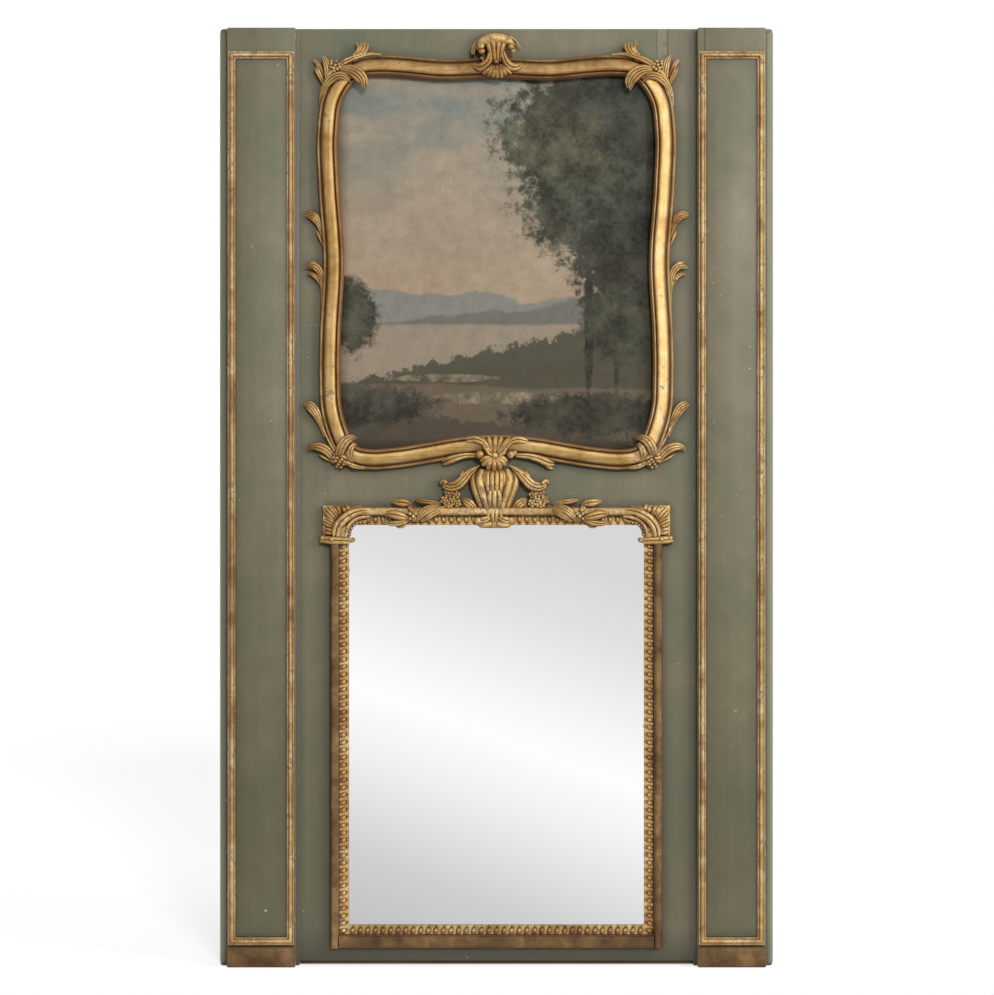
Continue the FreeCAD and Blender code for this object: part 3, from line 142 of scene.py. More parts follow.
def brushed_oil_paint(name, chips, cracks=(), patch=0):
    """Oil paint over gesso: streaks along the boards, dirt and painted shade in corners, chips on
    edges; the backs of the boards were left bare.

    A crack is its x, its width and the height it starts from; patch is how much paler the
    strip at the seam was painted again. With chips, sideways faces are painted paler, a painted light.
    """
    finish, tree, surface, place = new_finish(name)
    drift = add(tree, "TexNoise", {"Vector": place, "Scale": 4.5, "Detail": 4, "Roughness": 0.6})
    coats = [(0.32, PAINT_SHELTERED), (0.66, PAINT_HANDLED), (0.5, PAINT)]
    tone = add(tree, "ValToRGB", {"Fac": drift}, coats)
    along = add(tree, "Mapping", {"Vector": place, "Scale": (70, 70, 2.5)})
    streak = add(tree, "TexNoise", {"Vector": along, "Scale": 1, "Detail": 3})
    streak_depth = add(tree, "MapRange", {"Value": streak, 1: 0.3, 2: 0.7, 3: 0.94, 4: 1.05})
    streaked = add(tree, "VectorMath", {0: tone, "Scale": streak_depth}, operation="SCALE")
    mottling = add(tree, "TexNoise", {"Vector": place, "Scale": 24, "Detail": 7, "Roughness": 0.68})
    mottle = add(tree, "MapRange", {"Value": mottling, 1: 0.3, 2: 0.7, 3: 0.9, 4: 1.09})
    streaked = add(tree, "VectorMath", {0: streaked, "Scale": mottle}, operation="SCALE")
    height = add(tree, "SeparateXYZ", {"Vector": place}).outputs["Z"]
    # Painted shade: the paint darkens towards the bottom, and darker still at the foot.
    uneven = add(tree, "Math", {0: drift, 1: 0.35, 2: height}, operation="MULTIPLY_ADD")
    low = add(tree, "MapRange", {"Value": uneven, 1: 1.0, 2: 0.14, 3: 0, 4: 0.7})
    lowered = add(tree, "MixRGB", {"Fac": low, "Color1": streaked, "Color2": PAINT_LOW_SHADE})
    foot_shade = add(tree, "MapRange", {"Value": height, 1: 0.08, 2: 0.012, 3: 0, 4: 0.85})
    lowered = add(tree, "MixRGB", {"Fac": foot_shade, "Color1": lowered, "Color2": PAINT_DIRT_AND_SHADE})
    across = add(tree, "SeparateXYZ", {"Vector": place}).outputs["X"]
    lowered = opened_seams(tree, lowered, across, height, streak, cracks, patch)
    # Dirt and painted shade darken the corners, where other parts stand close.
    corner = add(tree, "AmbientOcclusion", {"Distance": 22 * MM}, samples=6)
    corner_dirt_and_shade = add(tree, "MapRange", {"Value": corner.outputs["AO"], 1: 0.95, 2: 0.4, 3: 0, 4: 0.85})
    dirty_and_shaded = add(tree, "MixRGB", {"Fac": corner_dirt_and_shade, "Color1": lowered, "Color2": PAINT_DIRT_AND_SHADE})
    speck = add(tree, "TexNoise", {"Vector": place, "Scale": 95, "Detail": 2})
    loss = add(tree, "MapRange", {"Value": speck, 1: 0.74, 2: 0.77, 3: 0, 4: 0.5})
    if chips:
        dirty_and_shaded, loss = chipped_edges(tree, dirty_and_shaded, place, loss)
    worn = add(tree, "MixRGB", {"Fac": loss, "Color1": dirty_and_shaded, "Color2": GESSO})
    turned = add(tree, "SeparateXYZ", {"Vector": add(tree, "NewGeometry").outputs["Normal"]})
    behind = add(tree, "MapRange", {"Value": turned.outputs["Y"], 1: 0.6, 2: 0.8, 3: 0, 4: 1})
    bare = add(tree, "ValToRGB", {"Fac": streak}, [(0.35, BARE_PINE_DARK), (0.62, BARE_PINE)])
    worn = add(tree, "MixRGB", {"Fac": behind, "Color1": worn, "Color2": bare})
    sheen = add(tree, "MapRange", {"Value": drift, 1: 0.3, 2: 0.7, 3: 0.52, 4: 0.4})
    relief = add(tree, "Math", {0: streak, 1: speck}, operation="ADD")
    brushing = add(tree, "Bump", {"Height": relief, "Strength": 0.25, "Distance": 0.6 * MM})
    feed(tree, surface, {"Base Color": worn, "Roughness": sheen, "Normal": brushing})
    feed(tree, surface, {"Specular IOR Level": 0.35})
    return finish


field_paint = brushed_oil_paint("brushed_oil_paint", chips=False)
edge_paint = brushed_oil_paint("brushed_oil_paint_with_chipped_edges", chips=True)
SEAM_CRACKS = [(321 * MM, 1.6 * MM, 1.7), (342.5 * MM, 2 * MM, 1.7)]
seam_paint = brushed_oil_paint("oil_paint_with_an_open_seam", False, SEAM_CRACKS, 0.45)
split_paint = brushed_oil_paint("oil_paint_with_a_split", True, [(415 * MM, 1.6 * MM, 1.76)])


def dress(finish, *names):
    """Gives solids whose shape is right their finish."""
    for name in names:
        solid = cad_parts[name]
        solid.data.materials.clear()
        solid.data.materials.append(finish)


def new_piece(name, work, finish, slot, *stands_for, smooth=None):
    """Makes a finished piece of a bmesh: it rides with the panel and stands for its solids."""
    mesh = bpy.data.meshes.new(name)
    work.to_mesh(mesh)
    work.free()
    mesh.materials.append(finish)
    mesh.shade_smooth()
    if smooth is not None:
        mesh.set_sharp_from_angle(angle=math.radians(smooth))
    piece = bpy.data.objects.new(name, mesh)
    bpy.context.scene.collection.objects.link(piece)
    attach(piece, "root")
    if stands_for:
        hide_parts(*stands_for)
    return piece


def softened_block(node, rounds, softening):
    """A planed block in a solid's place: named long edges rounded, the others softened."""
    low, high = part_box(node)
    work = bmesh.new()
    bmesh.ops.create_cube(work, size=1)
    bmesh.ops.scale(work, vec=high - low, verts=work.verts)
    bmesh.ops.translate(work, vec=(low + high) / 2, verts=work.verts)
    for reach, radius, steps in rounds:
        chosen = [
            edge for edge in work.edges
            if reach((edge.verts[0].co + edge.verts[1].co) / 2, low, high)
        ]
        bmesh.ops.bevel(
            work, geom=chosen, offset=radius, affect="EDGES", segments=steps, profile=0.5, material=-1
        )
    sharp = [edge for edge in work.edges if edge.calc_face_angle(0) > 1]
    bmesh.ops.bevel(
        work, geom=sharp, offset=softening, affect="EDGES", segments=2, profile=0.5, material=-1
    )
    return work


dress(field_paint, "left_inner_stile", "bottom_rail", "middle_rail", "top_rail", "tenon_pegs")
dress(seam_paint, "right_inner_stile")

# Planed faces meet in a sharp line from this angle on, in degrees.
PLANED = 35
EDGE_ROUND = 15 * MM
CORNER_ROUND = 9 * MM


def outer_front(middle, low, high):
    """The front edge on the panel's outer side."""
    outer = low.x if low.x < 0 else high.x
    return abs(middle.x - outer) < MM and abs(middle.y - low.y) < MM


def outer_corner(middle, low, high):
    """The corners at head and foot of the panel's outer side."""
    outer = low.x if low.x < 0 else high.x
    return abs(middle.x - outer) < 2 * MM and min(middle.z - low.z, high.z - middle.z) < MM


for hand in ("left", "right"):
    node = f"{hand}_outer_stile"
    stile = softened_block(
        node,
        [(outer_corner, CORNER_ROUND, 6), (outer_front, EDGE_ROUND, 8)],
        0.8 * MM,
    )
    new_piece(f"{node}_rounded", stile, edge_paint, "painted_wood", node, smooth=PLANED)


# The pilasters: a raised board on each outer stile, painted with the field, its long
# edges rubbed soft, where the paint has chipped down to the gesso.

for hand, paint in (("left", edge_paint), ("right", split_paint)):
    node = f"{hand}_pilaster_board"
    board = softened_block(node, [], 2 * MM)
    new_piece(f"{node}_worn", board, paint, "painted_wood", node, smooth=PLANED)


# Water gilding: leaf over red bole on gesso, burnished, then rubbed. Bole shows through
# as red-brown patches, and old wax and dust lie dark in every hollow, deepened with
# painted shade; flanks turned away from the front are painted in a red-brown shade.

BOLE = "#7a4a30"
FLANK_SHADE = "#79492a"
WAX_AND_SHADE = "#452a17"


def water_gilding(name, leaf, pale, dull, rubbed, hollow, slope=-0.75, streaks=(30, 30, 30)):
    """Leaf gold. rubbed is how far bole shows, hollow the width of a hollow that holds wax
    and painted shade, slope how far a flank turns before it is painted in shade, streaks the scale of
    the wear."""
    finish, tree, surface, place = new_finish(name)
    cloud = add(tree, "TexNoise", {"Vector": place, "Scale": 17, "Detail": 5, "Roughness": 0.65})
    tone = add(tree, "ValToRGB", {"Fac": cloud}, [(0.34, dull), (0.68, pale), (0.5, leaf)])
    fine = add(tree, "TexNoise", {"Vector": place, "Scale": 85, "Detail": 4, "Roughness": 0.7})
    wear = add(tree, "Math", {0: cloud, 1: fine}, operation="ADD")
    bare = add(tree, "MapRange", {"Value": wear, 1: 1.17 - rubbed, 2: 1.3 - rubbed, 3: 0, 4: 0.7})
    rubbing = add(tree, "MixRGB", {"Fac": bare, "Color1": tone, "Color2": BOLE})
    along = add(tree, "Mapping", {"Vector": place, "Scale": streaks})
    layers = add(tree, "TexNoise", {"Vector": along, "Scale": 1, "Detail": 4})
    worn = add(tree, "MapRange", {"Value": layers, 1: 0.5, 2: 0.68, 3: 0, 4: 0.6})
    rubbing = add(tree, "MixRGB", {"Fac": worn, "Color1": rubbing, "Color2": dull})
    # Wax and dust in the hollows, with painted shade: darker where the occlusion is deep.
    shade = add(tree, "AmbientOcclusion", {"Distance": hollow}, samples=8)
    speckled = add(tree, "Math", {0: fine, 1: 0.3, 2: -0.15}, operation="MULTIPLY_ADD")
    open_face = add(tree, "Math", {0: shade.outputs["AO"], 1: speckled}, operation="ADD")
    waxed_and_shaded = add(tree, "MapRange", {"Value": open_face, 1: 0.88, 2: 0.36, 3: 0, 4: 0.95})
    # Painted shade: faces turned away from the front take a red-brown shade.
    turned = add(tree, "SeparateXYZ", {"Vector": add(tree, "NewGeometry").outputs["Normal"]})
    flank_shade = add(tree, "MapRange", {"Value": turned.outputs["Y"], 1: slope, 2: slope + 0.5, 3: 0, 4: 0.8})
    flank_shaded = add(tree, "MixRGB", {"Fac": flank_shade, "Color1": rubbing, "Color2": FLANK_SHADE})
    aged = add(tree, "MixRGB", {"Fac": waxed_and_shaded, "Color1": flank_shaded, "Color2": WAX_AND_SHADE})
    chip = add(tree, "MapRange", {"Value": wear, 1: 1.34, 2: 1.36, 3: 0, 4: 0.8})
    aged = add(tree, "MixRGB", {"Fac": chip, "Color1": aged, "Color2": GESSO})
    covered = add(tree, "Math", {0: waxed_and_shaded, 1: bare}, operation="MAXIMUM")
    covered = add(tree, "Math", {0: covered, 1: flank_shade}, operation="MAXIMUM")
    metal = add(tree, "MapRange", {"Value": covered, 1: 0, 2: 1, 3: 0.55, 4: 0.05})
    gloss = add(tree, "MapRange", {"Value": wear, 1: 0.7, 2: 1.3, 3: 0.48, 4: 0.68})
    grain = add(tree, "Bump", {"Height": fine, "Strength": 0.35, "Distance": 0.5 * MM})
    feed(tree, surface, {"Base Color": aged, "Metallic": metal, "Roughness": gloss, "Normal": grain})
    return finish


UPRIGHT, LEVEL = (240, 240, 7), (7, 240, 240)
carved_gilding = water_gilding(
    "water_gilding_on_carving", "#d0a968", "#f2d79c", "#a0733f", 0.1, 3.5 * MM
)
upright_gilding = water_gilding(
    "water_gilding_on_uprights", "#d8b06c", "#f0d299", "#ae8147", 0.02, 3 * MM, -0.88, UPRIGHT
)
level_gilding = water_gilding(
    "water_gilding_on_levels", "#cfa866", "#e8ca90", "#a87c44", 0.02, 3 * MM, -0.88, LEVEL
)
bright_gilding = water_gilding(
    "water_gilding_brightest", "#e6c07a", "#f8dfaa", "#c4985c", 0, 2.5 * MM, -0.86, UPRIGHT
)
darkest_gilding = water_gilding(
    "water_gilding_darkest", "#b7915a", "#d8b97f", "#8b673a", 0.05, 3 * MM, -0.88, LEVEL
)
moulding_gilding = water_gilding(
    "water_gilding_rubbed", "#bd9a62", "#e6ce9c", "#85603a", 0.08, 3 * MM, -0.93, UPRIGHT
)
band_gilding = water_gilding("water_gilding_worn", "#775a37", "#9b7e51", "#523b22", 0.08, 6 * MM)
dark_gilding = water_gilding("water_gilding_browned", "#654a28", "#866a42", "#443018", 0.06, 6 * MM)

SIDES = ("left", "right", "top", "bottom")
for hand in ("left", "right"):
    dress(moulding_gilding, *[f"{hand}_pilaster_moulding_{side}" for side in SIDES])
    node = f"{hand}_plinth_block"
    plinth = softened_block(node, [], 2.5 * MM)
    new_piece(f"{node}_worn", plinth, dark_gilding, "gilded_wood", node, smooth=PLANED)


# The picture frame: four bars shaped to an S-curve, each with a rim, a groove, a broad
# swelling band and an inner lip, joined end to end under the corner leaves.

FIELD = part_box("left_inner_stile")[0].y
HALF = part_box("picture_frame_right")[1].x
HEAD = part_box("picture_frame_top")[1].z
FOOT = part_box("picture_frame_bottom")[0].z
SPAN = HEAD - FOOT
BAR = 41 * MM
BAR_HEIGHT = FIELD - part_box("picture_frame_top")[0].y
WAIST = 12 * MM

frame_side = [
    (HALF * 0.31, HEAD - 0.009),
    (HALF * 0.52, HEAD - 0.002),
    (HALF * 0.66, HEAD),
    (HALF - 0.088, HEAD - 0.003),
    (HALF - 0.059, HEAD - 0.015),
    (HALF - 0.038, HEAD - 0.034),
    (HALF - 0.011, HEAD - 0.079),
    (HALF, HEAD - SPAN * 0.18),
    (HALF - 0.002, HEAD - SPAN * 0.313),
    (HALF - WAIST, (HEAD + FOOT) / 2),
    (HALF - 0.005, FOOT + SPAN * 0.324),
    (HALF - 0.004, FOOT + SPAN * 0.227),
    (HALF - 0.008, FOOT + 0.115),
    (HALF - 0.017, FOOT + 0.079),
    (HALF - 0.034, FOOT + 0.039),
    (HALF - 0.05, FOOT + 0.017),
    (HALF - 0.072, FOOT + 0.005),
    (HALF * 0.713, FOOT),
    (HALF * 0.562, FOOT + 0.003),
    (HALF * 0.393, FOOT + 0.012),
    (HALF * 0.22, FOOT + 0.023),
]
frame_line = [(0, HEAD - 0.005)] + frame_side + [(0, FOOT + 0.029)]
frame_line = [Vector(point) for point in frame_line + [(-x, z) for x, z in reversed(frame_side)]]
UPPER, LOWER = 6, 16
frame_joints = [UPPER, LOWER, len(frame_line) - LOWER, len(frame_line) - UPPER]

# The leaf is brightest on the right bar and darkest on the top bar.
bar_gilding = {
    "left": upright_gilding, "right": bright_gilding, "top": darkest_gilding, "bottom": level_gilding,
}

# Across from the outer edge and up from the field, as shares of the bar.
BAR_SECTION = [
    (0, 0.02), (0, 0.46), (0.02, 0.54), (0.07, 0.6), (0.12, 0.56), (0.15, 0.47), (0.165, 0.38),
    (0.2, 0.4), (0.22, 0.58), (0.25, 0.72), (0.31, 0.82), (0.42, 0.89), (0.56, 0.95), (0.69, 0.98),
    (0.76, 0.93), (0.785, 0.78), (0.81, 0.7), (0.84, 0.74), (0.86, 0.83), (0.9, 0.86), (0.94, 0.8),
    (0.965, 0.66), (1, 0.6), (1, 0.02),
]


def swept(line, section):
    """A moulding run along a smooth line in the plane of the panel, as an open bmesh."""
    cutter = bpy.data.curves.new("cutter", "CURVE")
    cutter.dimensions = "2D"
    edge = cutter.splines.new("POLY")
    edge.points.add(len(section) - 1)
    for point, (across, high) in zip(edge.points, section):
        point.co = (across, high, 0, 1)
    edge.use_cyclic_u = True
    cutter_shape = bpy.data.objects.new("cutter", cutter)
    run = bpy.data.curves.new("run", "CURVE")
    run.dimensions = "2D"
    run.resolution_u = 10
    run.bevel_mode = "OBJECT"
    run.bevel_object = cutter_shape
    run.use_fill_caps = True
    path = run.splines.new("BEZIER")
    path.bezier_points.add(len(line) - 1)
    for point, (place, leaving, before, after) in zip(path.bezier_points, line):
        point.co = (*place, 0)
        point.handle_left_type = point.handle_right_type = "FREE"
        point.handle_left = (*(place - leaving * before), 0)
        point.handle_right = (*(place + leaving * after), 0)
    run_shape = bpy.data.objects.new("run", run)
    for shape in (cutter_shape, run_shape):
        bpy.context.scene.collection.objects.link(shape)
    graph = bpy.context.evaluated_depsgraph_get()
    mesh = bpy.data.meshes.new_from_object(run_shape.evaluated_get(graph))
    work = bmesh.new()
    work.from_mesh(mesh)
    bmesh.ops.transform(work, matrix=Matrix.Rotation(math.pi / 2, 4, "X"), verts=work.verts)
    bmesh.ops.translate(work, vec=(0, FIELD, 0), verts=work.verts)
    bmesh.ops.remove_doubles(work, verts=work.verts, dist=0.01 * MM)
    bmesh.ops.recalc_face_normals(work, faces=work.faces)
    for shape in (run_shape, cutter_shape):
        bpy.data.objects.remove(shape)
    return work


def smooth_line(points):
    """Each point with the direction of the line there and the reach of its two handles."""
    line = []
    for place, point in enumerate(points):
        before = point - points[place - 1]
        after = points[(place + 1) % len(points)] - point
        leaving = (before / before.length_squared + after / after.length_squared).normalized()
        line.append((point, leaving, before.length / 3, after.length / 3))
    return line


frame_route = smooth_line(frame_line)
bar_section = [(across * BAR, high * BAR_HEIGHT) for across, high in BAR_SECTION]
bar_ends = zip(frame_joints, frame_joints[1:] + frame_joints[:1])
for side, (first, last) in zip(("right", "bottom", "left", "top"), bar_ends):
    count = (last - first) % len(frame_line)
    route = [frame_route[(first + step) % len(frame_line)] for step in range(count + 1)]
    node = f"picture_frame_{side}"
    bar = swept(route, bar_section)
    new_piece(f"{node}_bar", bar, bar_gilding[side], "gilded_wood", node, smooth=50)


# Carving: leaves, shells and scrolls cut in limewood. A leaf is a run of round ridges side
# by side along a spine, parted at the tip; berries and eyes are set between.

def flowing(stations, steps=6):
    """Points on a smooth line through the stations, steps of them to each stretch."""
    points = [Vector(station) for station in stations]
    ends = [2 * points[0] - points[1]] + points + [2 * points[-1] - points[-2]]
    line = []
    for before, start, end, after in zip(ends, ends[1:], ends[2:], ends[3:]):
        for step in range(steps):
            t = step / steps
            straight = (end - before) * t
            bent = (2 * before - 5 * start + 4 * end - after) * t * t
            turned = (3 * start - before - 3 * end + after) * t * t * t
            line.append((2 * start + straight + bent + turned) / 2)
    return line + [points[-1]]


# How high a ridge stands and how far a leaf crowns, as shares of their widths; how far the
# tip's ridges part and its sides fall back, as shares of the length; and the tip's curl.
RIDGE_RISE, CROWN = 0.36, 0.16
TIP_NOTCH, TIP_ROUND = 0.15, 0.16
CURL_START, CURL_DROP = 0.75, 4.8
RIDGE_STEPS = 6


def gouge(work, root, ridges, stations, deep):
    """Cuts a leaf: stations are x and z from the root, height over the field and width, in mm."""
    line = flowing(stations)
    last = len(line) - 1
    columns = RIDGE_STEPS * ridges
    rings = []
    for row in range(last + 1):
        ring = []
        for column in range(columns + 1):
            off = 2 * column / columns - 1
            over = 2 * (column % RIDGE_STEPS) / RIDGE_STEPS - 1
            swell = math.sqrt(1 - over * over)
            reach = row * (1 - TIP_NOTCH * (1 - swell)) * (1 - TIP_ROUND * off * off)
            place = min(int(reach), last - 1)
            x, z, high, width = line[place].lerp(line[place + 1], reach - place)
            run = (line[place + 1] - line[place]).xy.normalized()
            curl = 3 * CURL_DROP * max(0, row / last - CURL_START) ** 2
            rise = swell * RIDGE_RISE * width / ridges - CROWN * width * off * off - curl
            ring.append(
                work.verts.new(
                    (
                        (root[0] + x - run.y * off * width / 2) * MM,
                        FIELD - (high + rise) * MM,
                        (root[1] + z + run.x * off * width / 2) * MM,
                    )
                )
            )
        for edge in (ring[-1], ring[0]):
            sunk = min(edge.co.y + deep * MM, FIELD + MM)
            ring.append(work.verts.new((edge.co.x, max(sunk, edge.co.y), edge.co.z)))
        rings.append(ring)
    for ring, after in zip(rings, rings[1:]):
        for place in range(len(ring)):
            work.faces.new((ring[place - 1], ring[place], after[place], after[place - 1]))
    work.faces.new(rings[0])
    work.faces.new(rings[-1][::-1])


def carving(root, leaves, balls=(), deep=8, work=None):
    """A carving of leaves, as (ridges, stations), and balls, as (x, z, height, radius)."""
    work = work or bmesh.new()
    for ridges, stations in leaves:
        gouge(work, root, ridges, stations, deep)
    for x, z, high, radius in balls:
        spot = Matrix.Translation(((root[0] + x) * MM, FIELD - high * MM, (root[1] + z) * MM))
        bmesh.ops.create_icosphere(work, subdivisions=2, radius=radius * MM, matrix=spot)
    bmesh.ops.recalc_face_normals(work, faces=work.faces)
    return work


def mirrored(work, middle=0):
    """The same carving turned over the middle of the panel."""
    other = work.copy()
    bmesh.ops.scale(other, vec=(-1, 1, 1), verts=other.verts)
    bmesh.ops.translate(other, vec=(2 * middle, 0, 0), verts=other.verts)
    bmesh.ops.reverse_faces(other, faces=other.faces)
    return other


def carved(name, work):
    new_piece(f"{name}_carved", work, carved_gilding, "gilded_wood", name, smooth=70)


def carved_pair(name, work, middle=0):
    right = mirrored(work, middle)
    carved(f"left_{name}", work)
    carved(f"right_{name}", right)


# The upper corners: leaves that curl over the bars' joint and stand off it, with berries.
upper_left = frame_line[frame_joints[3]] / MM
upper_leaves = [
    (1, [(-30, -51, 6, 4), (-28, -32, 9, 6), (-23, -18, 12, 8)]),
    (2, [(-26, -9, 9, 7), (-36, 14, 11, 10), (-46, 26, 8, 7)]),
    (2, [(-23, -28, 11, 6), (-32, -10, 15, 10), (-38, 2, 17, 10), (-43, 11, 12, 6)]),
    (3, [(-20, -34, 13, 8), (-17, -10, 19, 13), (-19, 14, 23, 15), (-28, 34, 15, 8)]),
    (2, [(90, 34, 19, 4), (65, 35, 22, 7), (40, 29, 26, 10), (19, 20, 28, 13), (7, 11, 26, 12)]),
    (4, [(33, 22, 20, 10), (44, 34, 24, 17), (52, 46, 24, 25), (53, 60, 14, 29)]),
    (1, [(27, 25, 20, 5), (38, 36, 23, 7), (45, 48, 23, 7), (38, 60, 14, 5)]),
    (2, [(-21, -24, 17, 16), (-2, 0, 23, 22), (20, 14, 24, 18)]),
    (
        3,
        [
            (-33, -67, 8, 5), (-29, -44, 15, 10), (-19, -24, 24, 15),
            (-2, -11, 32, 17), (15, -10, 34, 16), (29, -22, 28, 8),
        ],
    ),
    (4, [(8, 4, 28, 12), (28, 2, 36, 22), (44, -7, 39, 26), (54, -22, 36, 22), (52, -39, 26, 8)]),
]
upper_berries = [
    (-10, 20, 22, 3.6), (0, 20, 24, 3.8), (-10, 15, 24, 3.8), (-2, 12, 27, 4), (5, 14, 26, 3.8),
    (-5, 6, 28, 4.2), (2, 4, 29, 4.2), (-10, 8, 25, 3.8), (-4, 0, 29, 4), (7, 8, 28, 4),
]
carved_pair("upper_corner_acanthus", carving(upper_left, upper_leaves, upper_berries))

# The lower corners: a tall plume up the side and leaves that clasp the joint.
lower_left = frame_line[frame_joints[2]] / MM
lower_leaves = [
    (1, [(-54, 99, 10, 5), (-61, 115, 13, 6), (-65, 121, 9, 4)]),
    (4, [(-35, 49, 9, 7), (-43, 74, 12, 12), (-53, 96, 16, 19), (-65, 110, 16, 21), (-79, 113, 8, 12)]),
    (1, [(-45, 80, 10, 5), (-35, 56, 12, 6), (-23, 32, 14, 7), (-12, 13, 17, 8)]),
    (1, [(-22, -1, 10, 4), (-37, 7, 13, 6), (-48, 14, 10, 4)]),
    (3, [(-17, 4, 15, 12), (-31, 21, 19, 19), (-48, 29, 19, 18), (-62, 28, 15, 13), (-72, 19, 8, 7)]),
    (2, [(-20, 12, 18, 14), (1, 4, 25, 24), (19, -2, 23, 16)]),
    (2, [(8, -2, 20, 8), (23, -10, 22, 10), (41, -13, 17, 7), (56, -14, 13, 4)]),
    (3, [(-7, 8, 24, 14), (-3, 23, 34, 20), (6, 39, 38, 20), (18, 46, 36, 15), (30, 46, 27, 8)]),
    (2, [(23, -2, 20, 6), (15, 10, 32, 13), (17, 23, 36, 13), (23, 32, 33, 9), (30, 32, 26, 5)]),
]
lower_berries = [
    (-18, -1, 20, 3.6), (-11, -10, 18, 3.6), (-3, -12, 18, 3.6), (8, -3, 24, 3.8), (-10, 6, 26, 4),
    (-13, 0, 25, 3.8), (-5, -1, 28, 4.2), (2, -6, 25, 3.8), (-1, 3, 29, 4.2), (4, -1, 28, 4),
    (-8, -6, 24, 3.8),
]
carved_pair("lower_corner_acanthus", carving(lower_left, lower_leaves, lower_berries))

# The sprays at the waist: thin stems along the side bars, with leaves that turn outwards.
spray_root = (-(HALF - WAIST) / MM, (HEAD + FOOT) / 2 / MM)
spray_leaves = [
    (1, [(-3, -86, 8, 5), (1, -42, 10, 7), (3, 7, 10, 7), (1, 41, 10, 6), (-5, 73, 9, 5)]),
    (1, [(0, 32, 8, 4), (-9, 52, 12, 6), (-14, 64, 9, 4)]),
    (2, [(-6, 76, 11, 7), (-13, 91, 14, 10), (-26, 100, 11, 8), (-39, 98, 7, 4)]),
    (3, [(-2, 44, 9, 5), (-7, 71, 12, 11), (-19, 89, 14, 15), (-40, 95, 7, 6)]),
    (2, [(-2, -52, 8, 4), (-11, -34, 12, 9), (-22, -24, 12, 9), (-34, -24, 7, 5)]),
    (1, [(-7, -16, 13, 6), (-17, -2, 14, 7), (-30, 1, 9, 5)]),
    (3, [(-3, -82, 8, 5), (-2, -56, 11, 8), (-5, -24, 15, 14), (-19, -7, 16, 16), (-39, -12, 7, 7)]),
]
carved_pair("leaf_spray", carving(spray_root, spray_leaves))

# The shell over the head: a thin rim, a rolled hood on two eyes, and a fluted fan below.
shell_root = (-4, HEAD / MM - 5)
shell_leaves = [
    (
        1,
        [
            (-45, 8, 14, 5), (-42, 20, 18, 6), (-35, 31, 20, 7), (-19, 42, 22, 7),
            (5, 47, 22, 7), (29, 41, 22, 6), (44, 31, 19, 6), (53, 16, 14, 5),
        ],
    ),
    (2, [(-43, 5, 18, 8), (-42, 17, 23, 10), (-35, 27, 26, 8)]),
    (4, [(3, 29, 35, 48), (3, 17, 36, 38), (3, 1, 36, 27), (4, -15, 35, 20)]),
    (
        2,
        [(-8, 6, 36, 10), (-13, -11, 38, 15), (-25, -21, 37, 18), (-35, -21, 34, 15), (-44, -13, 29, 7)],
    ),
    (2, [(16, 9, 36, 10), (22, -9, 38, 15), (33, -21, 37, 18), (46, -21, 34, 15), (55, -13, 29, 7)]),
    (1, [(-27, -1, 30, 5), (-21, -11, 33, 6), (-27, -19, 33, 5)]),
    (
        1,
        [
            (-31, 13, 25, 11), (-28, 27, 30, 18), (-12, 34, 32, 25), (3, 35, 33, 27),
            (20, 34, 32, 25), (33, 27, 30, 18), (38, 15, 25, 10),
        ],
    ),
    (1, [(-5, -19, 35, 6), (-15, -29, 38, 11), (-24, -36, 33, 10)]),
    (1, [(-2, -19, 35, 6), (-9, -31, 38, 11), (-13, -40, 33, 10)]),
    (1, [(1, -20, 35, 6), (-1, -32, 38, 12), (-4, -43, 33, 10)]),
    (1, [(4, -20, 36, 6), (5, -33, 38, 12), (6, -45, 33, 10)]),
    (1, [(7, -20, 35, 6), (12, -31, 38, 12), (15, -43, 33, 10)]),
    (1, [(10, -19, 35, 6), (18, -29, 38, 11), (24, -38, 33, 10)]),
    (1, [(12, -17, 35, 6), (23, -26, 38, 10), (34, -35, 32, 9)]),
]
shell_eyes = [
    (-27, 21, 33, 7.5), (-25, 11, 27, 7), (33, 19, 33, 7), (36, 12, 29, 5.5), (3, -11, 37, 4.5),
]
carved("shell_crest", carving(shell_root, shell_leaves, shell_eyes, deep=12))

